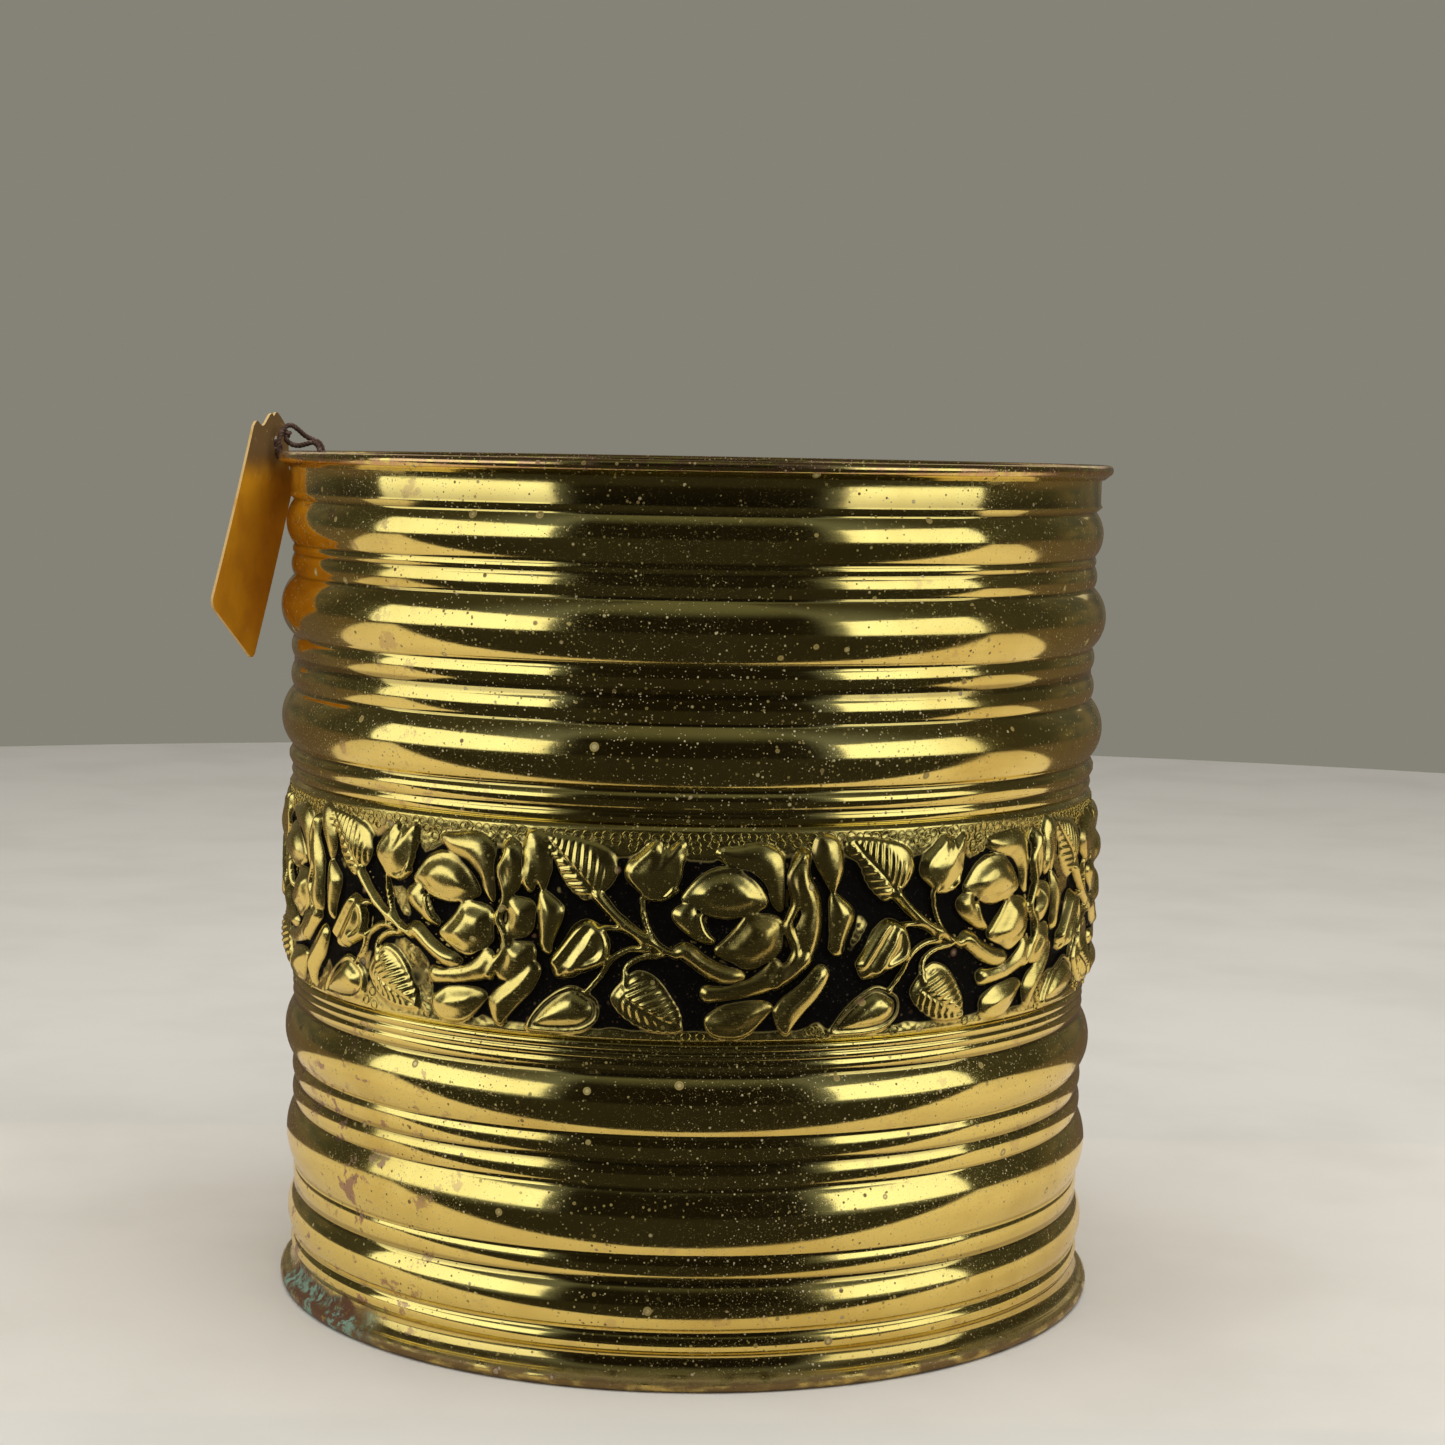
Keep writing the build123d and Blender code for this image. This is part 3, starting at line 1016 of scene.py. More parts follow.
@dataclass
class RoseBand:
    """The repousse band of roses, worked out as a height field on the drum and closed as thin shells."""

    shape: DrumShape
    repeat: float = 37.8
    centres: tuple[float, ...] = (-145.6, -107.8, -70.0, -32.5, 4.5, 43.5, 81.3, 119.1, 156.9)
    rose_at: float = 4.5
    step_degrees: float = 0.2
    step_height: float = 0.45
    sectors: int = 8
    inner_every: int = 3
    highest: float = 159.6
    lowest: float = 98.6
    thinnest: float = 0.35
    seam_from: float = 2.4
    seam_to: float = 5.0
    edge_width: float = 1.3
    edge_share: float = 0.32
    boldness: float = 1.28
    reach: float = 0.8
    sunk: float = 0.55
    soot_spread: float = 24.0
    seed: int = 11

    ROSE = (
        Raised(2.1, 3.0, ((3.7, 152.7), (6, 153.5), (8.5, 154.5), (10.3, 153.5), (11.6, 150.5), (11.9, 145),
                          (11.7, 138), (11.4, 136.3), (10.4, 139), (9.7, 143), (8, 146.5), (6, 148.5),
                          (4.5, 150))),
        Raised(2.9, 6.5, ((-0.8, 139.5), (-0.2, 142), (1.5, 146), (4, 148.2), (6.5, 147.5), (8.6, 143.5),
                          (9.6, 138.5), (8.5, 136.7), (6.5, 135.2), (4.5, 134.6), (2, 135.8),
                          (0.5, 138.3)), 0.5),
        Raised(2.8, 5.5, ((7.5, 135.5), (10, 135), (11.5, 133.5), (11.7, 129), (11.3, 125), (9.5, 122),
                          (7.5, 120.3), (5, 122.5), (3.4, 125.2), (4.5, 128), (5.8, 131), (6.8, 134)), 0.5),
        Raised(2.0, 2.2, ((-0.5, 138.2), (-1.8, 136.5), (-2, 134.5), (-1.2, 132), (0, 130), (1.5, 128),
                          (3, 127.5), (2.3, 129.5), (1.6, 132), (1, 134.5), (0.8, 136.5), (0.6, 138))),
        Raised(2.5, 3.4, ((-1.8, 125.3), (-0.8, 127), (0.5, 126.3), (2, 123.5), (4, 121.3), (6, 120),
                          (7, 118.2), (6, 116.8), (4.3, 116.4), (2.5, 118), (0.5, 121), (-1, 123.5))),
        Raised(2.6, 3.6, ((1.7, 113.5), (2.2, 115), (4.5, 115), (7, 116.3), (9, 119), (10.8, 122.5),
                          (11.7, 121), (11.2, 117.5), (10.6, 114.8), (8, 113), (5, 111.9), (2.6, 111.3),
                          (1.9, 112)), 0.6),
        Raised(2.4, 4.6, ((2.3, 106), (3.5, 108.5), (5, 110.3), (8, 111.2), (10.2, 110.2), (10.3, 108.5),
                          (9, 105), (7.5, 102.3), (6, 101.2), (4, 101.4), (2.7, 103)), 0.4),
        Raised(2.5, 3.2, ((16.8, 120.5), (17.8, 119), (17.5, 116), (16.4, 112), (14.5, 107.5), (13, 103.5),
                          (12.4, 102), (11.5, 104), (11, 108), (12, 111.5), (14, 115), (15.8, 119)), 0.5),
        Raised(2.2, 2.6, ((18.2, 140.3), (19.5, 139), (21, 135.8), (20.8, 132.5), (19.8, 127), (19.4, 123.6),
                          (18.3, 124.5), (18, 130), (17.9, 136))),
        Raised(2.0, 2.8, ((16.6, 157), (18.5, 155.5), (19.2, 152), (19.5, 147), (18.7, 142.5), (18.2, 141.5),
                          (17.2, 145), (16, 149), (15.8, 153))),
        Ridge(2.9, 0.8, 0.5, ((1.3, 135), (1.9, 131), (3, 128))),
        Ridge(2.5, 1.5, 1.2, ((14.2, 152), (12.7, 146), (13.3, 138.5), (12.4, 132), (13.4, 125), (12, 119.5),
                              (11, 115))),
    )
    CURLED = (
        Raised(2.7, 3.0, ((14.8, 152.2), (15, 150), (15.1, 146), (16.2, 141), (16.6, 136), (16.5, 130),
                          (16, 126), (15.6, 124.9), (14.1, 124.9), (14.1, 126), (13.3, 131), (14, 136),
                          (13.5, 140), (13.3, 145), (13.8, 149.5))),
        Raised(2.5, 2.6, ((13.9, 124.5), (15.5, 124.3), (15.3, 121.5), (13.5, 117.8), (11.5, 115),
                          (11, 115.8), (12.3, 119.5))),
    )
    STACKED = (
        Raised(2.5, 2.8, ((13.6, 153.8), (15.2, 151), (15.6, 146), (15, 140.6), (13.7, 139.8), (13.2, 145),
                          (12.8, 150))),
        Raised(2.3, 2.4, ((15.9, 152.5), (17.2, 149), (17.4, 144), (16.6, 140.4), (15.7, 143), (16, 148))),
        Raised(2.7, 3.6, ((13.3, 138.6), (15.4, 138.3), (17.3, 136.5), (17.2, 131), (15.6, 127.4),
                          (13.4, 127.6), (13.7, 133)), 0.4),
        Raised(2.6, 3.4, ((12.8, 126.2), (15, 126), (17, 124.8), (16.8, 119.6), (14.5, 115.6), (12.2, 115.2),
                          (12.7, 120.5)), 0.4),
    )
    LEAVES = (
        Raised(2.3, 3.2, ((-5.3, 140), (-6.5, 142), (-7.9, 145), (-7.8, 148.5), (-6, 151.5), (-4.3, 154.8),
                          (-3.6, 153), (-3.2, 152), (-2, 153.5), (-1, 154.8), (-0.9, 151), (-1.2, 148),
                          (-1.6, 144.5), (-3, 141), (-4.8, 139.6))),
        Ridge(2.6, 0.5, 0.35, ((-5.6, 140.5), (-7.3, 145.5), (-6.8, 149), (-4.2, 154.5))),
        Ridge(2.6, 0.5, 0.35, ((-2.6, 140.2), (-1.3, 145), (-1, 151))),
        Ridge(2.9, 0.5, 0.3, ((-3.9, 146), (-3.2, 150), (-3, 154))),
        Ridge(2.8, 0.4, 0.3, ((-3.3, 147), (-1.6, 154))),
        Ridge(2.0, 0.7, 0.6, ((-5, 139.5), (-3.2, 139.6), (-1.5, 142))),
        Ridge(1.9, 0.8, 0.7, ((-5.9, 139.5), (-5.7, 135), (-5, 130.5), (-3.5, 126), (-1.6, 123))),
        Raised(1.8, 4.6, ((-18.3, 155.5), (-15, 155), (-12, 153.7), (-10, 151.5), (-9, 147.5), (-9.2, 145),
                          (-10.2, 142), (-11.8, 140), (-13.2, 138.2), (-15, 141), (-16.3, 145),
                          (-17.2, 149.5), (-18.6, 153))),
        Ridge(2.3, 1.9, 0.9, ((-11.5, 139.8), (-9.5, 135), (-7, 130.5), (-4, 126.5), (-1.5, 123.3))),
        Raised(2.0, 4.0, ((-17.3, 120.5), (-15.8, 127), (-14.2, 131.5), (-12.5, 132.8), (-10.8, 130.5),
                          (-10, 126.5), (-10.8, 122), (-13.2, 118.5), (-14.8, 116.8), (-16.8, 116.8))),
        Ridge(2.9, 1.6, 1.0, ((-17, 120.5), (-15.5, 125), (-13.8, 130), (-12.8, 131.8))),
        Ridge(2.9, 1.6, 1.0, ((-14.8, 118.5), (-13.8, 122), (-12.6, 125.5), (-11.9, 129))),
        Ridge(2.8, 1.5, 0.9, ((-13.3, 119.5), (-11.2, 121.5), (-10.4, 124.5), (-10.7, 128.5), (-11.8, 131))),
        Ridge(2.3, 0.9, 0.7, ((-16.5, 117), (-15.5, 120))),
        Ridge(1.7, 0.8, 0.8, ((-10.8, 131), (-8.5, 130.6), (-6.5, 128.5), (-5.3, 125.5))),
        Ridge(1.9, 0.9, 0.7, ((-5, 125.3), (-7.5, 125), (-9.7, 122), (-11, 117.5), (-12.8, 112.6))),
        Ridge(1.8, 0.8, 0.7, ((-3.2, 123.8), (-6, 122.8), (-7.8, 120), (-8, 115.5), (-7.5, 112.5))),
        Raised(2.0, 4.2, ((-12.2, 111.5), (-15, 113.8), (-18.5, 109), (-20.7, 101.8), (-18.5, 100.8),
                          (-15, 101.2), (-13, 102.3), (-11.5, 105), (-11.3, 109)), 0.7),
        Raised(2.0, 4.4, ((-9.6, 112.2), (-8.3, 116), (-6.5, 119), (-4.5, 118), (-3, 115), (-1.8, 111),
                          (-1, 107.5), (-0.8, 104.3), (-1, 102.8), (-3.5, 102.5), (-6, 103.5), (-8, 106),
                          (-9.4, 109.5)), 0.3),
    )
    MIDRIBS = (
        ((-11.5, 139.8), (-13.5, 145), (-16, 150.5), (-18, 155)),
        ((-8.3, 112), (-6.5, 109.5), (-4, 106.5), (-1.4, 103.6)),
    )

    def __post_init__(self) -> None:
        """Works out how long a degree is on the band's ground."""
        self.mm_per_degree = math.radians(self.shape.band_radius)

    def flat(self, points: Sequence[Pair]) -> np.ndarray:
        """Points of the pattern as millimetres from the rose's centre line, and height."""
        rows = np.asarray(points, dtype=float)
        return np.column_stack([(rows[:, 0] - self.rose_at) * self.mm_per_degree, rows[:, 1]])

    @staticmethod
    def to_line(spots: np.ndarray, line: np.ndarray, closed: bool) -> tuple[np.ndarray, np.ndarray]:
        """The distance from each spot to a line of points, and how far along the line it is nearest."""
        start = line if closed else line[:-1]
        run = (np.roll(line, -1, axis=0) if closed else line[1:]) - start
        lengths = (run**2).sum(axis=1) + 1e-9
        best = np.full(len(spots), 1e9)
        along = np.zeros(len(spots))
        for index in range(len(start)):
            part = np.clip(((spots - start[index]) @ run[index]) / lengths[index], 0.0, 1.0)
            gap = spots - start[index] - part[:, None] * run[index]
            square = (gap**2).sum(axis=1)
            nearer = square < best
            best[nearer] = square[nearer]
            along[nearer] = (index + part[nearer]) / len(start)
        return np.sqrt(best), along

    @staticmethod
    def within(spots: np.ndarray, line: np.ndarray) -> np.ndarray:
        """Which spots lie inside a closed line of points."""
        inside = np.zeros(len(spots), dtype=bool)
        ends = np.roll(line, -1, axis=0)
        for (x1, y1), (x2, y2) in zip(line, ends):
            if y1 == y2:
                continue
            crosses = (y1 > spots[:, 1]) != (y2 > spots[:, 1])
            inside ^= crosses & (spots[:, 0] < (x2 - x1) * (spots[:, 1] - y1) / (y2 - y1) + x1)
        return inside

    def raise_form(self, field: np.ndarray, across: np.ndarray, up: np.ndarray, form: Raised | Ridge) -> None:
        """Adds one form to a field of heights, as the higher of the two.

        Args:
            field: heights over the pattern, changed in place.
            across: its columns, in millimetres from the rose's centre line.
            up: its rows, as heights.
            form: what to add.
        """
        closed = isinstance(form, Raised)
        line = through(self.flat(form.outline if closed else form.route), 6, closed)
        margin = self.reach if closed else max(form.first, form.last)
        low, high = line.min(axis=0) - margin, line.max(axis=0) + margin
        columns = np.flatnonzero((across >= low[0]) & (across <= high[0]))
        rows = np.flatnonzero((up >= low[1]) & (up <= high[1]))
        window = np.ix_(rows, columns)
        grid_x, grid_y = np.meshgrid(across[columns], up[rows])
        spots = np.column_stack([grid_x.ravel(), grid_y.ravel()])
        away, along = self.to_line(spots, line, closed)
        if closed:
            depth = np.where(self.within(spots, line), self.reach + away, np.maximum(self.reach - away, 0.0))
            edge = np.sqrt(1 - (1 - np.clip(depth / self.edge_width, 0.0, 1.0)) ** 2)
            dome = np.sin(np.clip(depth / max(depth.max(), form.crown), 0.0, 1.0) * math.pi / 2)
            height = form.rise * (self.edge_share * edge + (1 - self.edge_share) * dome)
            height -= form.lip * ease(depth, 0.9, 1.9) * ease(depth, 4.6, 2.6)
        else:
            width = form.first + (form.last - form.first) * along
            height = form.rise * np.sqrt(np.clip(1 - (away / width) ** 2, 0.0, 1.0))
        field[window] = np.maximum(field[window], height.reshape(grid_x.shape))

    def veins(
        self, field: np.ndarray, form: np.ndarray, across: np.ndarray, up: np.ndarray, midrib: Sequence[Pair]
    ) -> None:
        """Chases a leaf's midrib and side veins.

        Args:
            field: how deep they are chased over the pattern, changed in place.
            form: the pattern's heights.
            across: its columns.
            up: its rows.
            midrib: the midrib's route, from the leaf's base to its tip.
        """
        line = through(self.flat(midrib), 8, False)
        near = np.flatnonzero((across > line[:, 0].min() - 9) & (across < line[:, 0].max() + 9))
        rows = np.flatnonzero((up > line[:, 1].min() - 9) & (up < line[:, 1].max() + 9))
        window = np.ix_(rows, near)
        grid_x, grid_y = np.meshgrid(across[near], up[rows])
        spots = np.column_stack([grid_x.ravel(), grid_y.ravel()])
        away, along = self.to_line(spots, line, False)
        away, along = away.reshape(grid_x.shape), along.reshape(grid_x.shape)
        length = np.linalg.norm(np.diff(line, axis=0), axis=1).sum()
        side = np.cos((along * length - away * 0.8) * 2 * math.pi / 2.6)
        on_leaf = ease(form[window], 0.5, 1.2) * ease(along, 0.0, 0.06) * ease(away, 8.0, 5.0)
        groove = 0.45 * np.exp(-((away / 0.5) ** 2)) + 0.32 * side * ease(away, 0.4, 1.2)
        field[window] += on_leaf * groove

    def pattern(self, column: PetalColumn) -> tuple[np.ndarray, np.ndarray, np.ndarray, np.ndarray]:
        """One repeat of the relief.

        Args:
            column: how its right-hand petals are worked.

        Returns:
            Its columns, its rows, its heights above the ground, and the depths of its leaves' veins.
        """
        across = np.arange(-62.0, 44.0, 0.3)
        up = np.arange(self.lowest, self.highest + 0.3, 0.3)
        field = np.zeros((len(up), len(across)))
        side = self.CURLED if column is PetalColumn.CURLED else self.STACKED
        for form in self.ROSE + self.LEAVES + side:
            self.raise_form(field, across, up, form)
        chased = np.zeros_like(field)
        for midrib in self.MIDRIBS:
            self.veins(chased, field, across, up, midrib)
        return across, up, field, chased

    @staticmethod
    def sample(
        across: np.ndarray, up: np.ndarray, field: np.ndarray, x: np.ndarray, z: np.ndarray
    ) -> np.ndarray:
        """A pattern read between its points, and 0 beyond it."""
        column = (x - across[0]) / (across[1] - across[0])
        row = (z - up[0]) / (up[1] - up[0])
        known = (column >= 0) & (column < len(across) - 1)
        column = np.clip(column, 0, len(across) - 1.001)
        row = np.clip(row, 0, len(up) - 1.001)
        c, r = column.astype(int), row.astype(int)
        u, v = column - c, row - r
        top = field[r + 1, c] * (1 - u) + field[r + 1, c + 1] * u
        base = field[r, c] * (1 - u) + field[r, c + 1] * u
        return np.where(known, base * (1 - v) + top * v, 0.0)

    def blurred(self, field: np.ndarray, width: float) -> np.ndarray:
        """A field round the whole band, softened over a width in millimetres."""
        rows = len(field)
        tall = np.vstack([field, field[::-1]])
        down = np.fft.fftfreq(tall.shape[0]) / self.step_height
        round_it = np.fft.fftfreq(tall.shape[1]) / (self.step_degrees * self.mm_per_degree)
        soften = np.exp(-2 * (math.pi * width) ** 2 * (down[:, None] ** 2 + round_it[None, :] ** 2))
        return np.real(np.fft.ifft2(np.fft.fft2(tall) * soften))[:rows]

    def heights(self) -> tuple[np.ndarray, np.ndarray, np.ndarray, np.ndarray]:
        """The whole band.

        Returns:
            Its angles, its rows, its relief above the ground, and how deep the patina lies.
        """
        turn = np.arange(-180.0, 180.0, self.step_degrees)
        steps = round((self.highest - self.lowest) / self.step_height)
        up = np.linspace(self.lowest, self.highest, steps + 1)
        self.step_height = up[1] - up[0]
        random = np.random.default_rng(self.seed)
        patterns = {column: self.pattern(column) for column in PetalColumn}
        relief = np.zeros((len(up), len(turn)))
        chased = np.zeros_like(relief)
        grid_turn, grid_up = np.meshgrid(turn, up)
        for index, centre in enumerate(self.centres):
            column = PetalColumn.CURLED if index % 2 == 0 else PetalColumn.STACKED
            away = (grid_turn - centre + 180.0) % 360.0 - 180.0
            x = away * self.mm_per_degree
            sway = random.uniform(-1.0, 1.0, 4) * (abs(centre - self.rose_at) > 1.0)
            lean = 0.7 * sway[0] * np.sin(grid_up / 9.0 + 3 * sway[1])
            warp_x = x + lean + 0.35 * sway[3] * np.sin(x / 5.0)
            warp_z = grid_up + 0.6 * sway[2] * np.sin(x / 11.0 + 4 * sway[3]) * ease(grid_up, 99.0, 106.0)
            across, rows, form, veins = patterns[column]
            relief = np.maximum(relief, self.sample(across, rows, form, warp_x, warp_z))
            chased += self.sample(across, rows, veins, warp_x, warp_z)
        seam = ease(180.0 - np.abs(grid_turn), self.seam_from, self.seam_to)
        border = ease(grid_up, self.lowest + 1.2, self.lowest + 2.4) * ease(-grid_up, -158.0, -156.6)
        relief = self.blurred(relief * self.boldness * seam * border, 0.24)
        full = ease(relief, 1.1, 1.9)
        relief = relief * (1 - full) + self.blurred(relief, 0.75) * full - chased * seam * border
        ground = ease(relief, 0.5, 0.1)
        speckle = random.normal(size=relief.shape)
        matting = self.blurred(speckle, 0.42)
        dents = self.blurred(random.normal(size=relief.shape), 2.6)
        matted = matting / matting.std() * 0.042 * (0.25 + 0.75 * ground) * border
        relief = relief + matted + dents / dents.std() * 0.05 * border
        around = self.blurred(relief, 2.3)
        crowded = ease(self.blurred((relief > 0.6).astype(float), 4.2), 0.12, 0.30)
        belt = ease(grid_up, 100.0, 104.5) * ease(-grid_up, -153.0, -147.0)
        pits = ease(around - relief, 0.10, 0.75)
        low = ease(relief, 1.3, 0.35)
        patchy = self.blurred(random.normal(size=relief.shape), 7.0)
        front = np.exp(-(((grid_turn - self.rose_at) / self.soot_spread) ** 2))
        patchy = ease(patchy / patchy.std() + 1.7 * front, -0.45, 0.45)
        sooted = low * crowded * belt * patchy
        hollow = np.clip(np.maximum(pits * (0.35 + 0.65 * belt), sooted), 0.0, 1.0)
        relief = relief - self.sunk * self.blurred(sooted, 1.2) * seam
        return turn, up, relief, self.blurred(hollow, 0.25)

    def shell(
        self, turn: np.ndarray, up: np.ndarray, outer: np.ndarray, inner: np.ndarray
    ) -> tuple[np.ndarray, list[tuple[int, ...]], int]:
        """One sector as a closed shell, fine outside and coarser inside.

        Args:
            turn: its angles.
            up: its rows.
            outer: outer radii.
            inner: inner radii.

        Returns:
            Its points, its faces, and how many of the faces are outside ones.
        """
        every = self.inner_every
        columns, rows = len(turn), len(up)
        angle = np.radians(turn)
        grid = np.arange(rows * columns).reshape(rows, columns)
        coarse_c = np.arange(0, columns, every)
        coarse_r = np.unique(np.append(np.arange(0, rows - 1, every), rows - 1))
        inner_grid = rows * columns + np.arange(len(coarse_r) * len(coarse_c)).reshape(len(coarse_r), -1)

        def points(radius: np.ndarray, at_row: np.ndarray, at_column: np.ndarray) -> np.ndarray:
            """Grid points on the drum."""
            r = radius[np.ix_(at_row, at_column)]
            a, z = np.meshgrid(angle[at_column], up[at_row])
            return np.column_stack([(r * np.sin(a)).ravel(), (-r * np.cos(a)).ravel(), z.ravel()])

        every_row, every_column = np.arange(rows), np.arange(columns)
        spots = np.vstack([points(outer, every_row, every_column), points(inner, coarse_r, coarse_c)])
        quads = np.stack([grid[:-1, :-1], grid[:-1, 1:], grid[1:, 1:], grid[1:, :-1]], axis=-1).reshape(-1, 4)
        back = np.stack(
            [inner_grid[:-1, :-1], inner_grid[1:, :-1], inner_grid[1:, 1:], inner_grid[:-1, 1:]], axis=-1
        ).reshape(-1, 4)
        faces = [tuple(face) for face in quads.tolist()]
        outside = len(faces)
        faces += [tuple(face) for face in back.tolist()]
        edges = (
            (grid[0], inner_grid[0], coarse_c, True),
            (grid[-1], inner_grid[-1], coarse_c, False),
            (grid[:, 0], inner_grid[:, 0], coarse_r, False),
            (grid[:, -1], inner_grid[:, -1], coarse_r, True),
        )
        for fine, coarse, stops, flip in edges:
            for index in range(len(stops) - 1):
                run = [int(v) for v in fine[stops[index] : stops[index + 1] + 1]]
                face = run + [int(coarse[index + 1]), int(coarse[index])]
                faces.append(tuple(face[::-1] if flip else face))
        return spots, faces, outside

    def normals(self, turn: np.ndarray, up: np.ndarray, radius: np.ndarray) -> np.ndarray:
        """Outward directions of the whole band's outer face, by row and column."""
        angle = np.radians(turn)
        out = np.stack([np.sin(angle), -np.cos(angle), np.zeros(len(angle))], axis=-1)[None]
        side = np.stack([np.cos(angle), np.sin(angle), np.zeros(len(angle))], axis=-1)[None]
        step = math.radians(self.step_degrees)
        slope_side = (np.roll(radius, -1, axis=1) - np.roll(radius, 1, axis=1)) / (2 * step) / radius
        slope_up = np.gradient(radius, up, axis=0)
        upwards = np.array([0.0, 0.0, 1.0])
        normal = out - slope_side[..., None] * side - slope_up[..., None] * upwards
        return normal / np.linalg.norm(normal, axis=-1)[..., None]

    def build(self) -> tuple[list[bpy.types.Object], np.ndarray]:
        """The band's sectors.

        Returns:
            The sectors, and the spots of bare ground where a ring punch may go, as angle and height.
        """
        turn, up, relief, hollow = self.heights()
        shape = self.shape
        edge_up = [self.lowest, shape.band_foot, shape.band_top, self.highest]
        ends = shape.valley(self.lowest), shape.valley(self.highest)
        edge_radius = [ends[0], shape.band_radius, shape.band_radius, ends[1]]
        base = np.interp(up, edge_up, edge_radius)[:, None]
        outer = base + relief
        inner = np.minimum(base - shape.sheet + self.blurred(relief, 0.9) * 0.9, outer - self.thinnest)
        normal = self.normals(turn, up, outer)
        width = len(turn) // self.sectors
        pieces = []
        for sector in range(self.sectors):
            columns = np.arange(sector * width, (sector + 1) * width + 1)
            wrapped = columns % len(turn)
            local_turn = turn[0] + columns * self.step_degrees
            spots, faces, outside = self.shell(local_turn, up, outer[:, wrapped], inner[:, wrapped])
            mesh = make_mesh(spots, faces)
            outer_count = len(up) * len(columns)
            numbers = np.zeros(len(spots))
            numbers[:outer_count] = hollow[:, wrapped].ravel()
            set_numbers(mesh, "hollow", numbers)
            inside = np.zeros(len(spots))
            inside[outer_count:] = 1.0
            set_numbers(mesh, "inside", inside)
            self.set_normals(mesh, normal[:, wrapped].reshape(-1, 3), outside)
            piece = make_object(f"rose_band_{sector + 1}", mesh, BRASS)
            pieces.append(attach(piece, Body.BASKET, "brass", "drum_wall"))
        bare = ease(self.blurred((relief > 0.35).astype(float), 0.9), 0.14, 0.02) * (hollow < 0.12)
        rows, places = np.nonzero(bare > 0.9)
        return pieces, np.column_stack([turn[places], up[rows]])

    @staticmethod
    def set_normals(mesh: bpy.types.Mesh, normal: np.ndarray, outside: int) -> None:
        """Gives the outer faces the whole band's directions, so that sectors meet without a line."""
        corners = np.empty(len(mesh.loops), dtype=np.int32)
        mesh.loops.foreach_get("vertex_index", corners)
        given = np.zeros((len(corners), 3))
        used = outside * 4
        given[:used] = normal[corners[:used]]
        mesh.normals_split_custom_set(given.tolist())


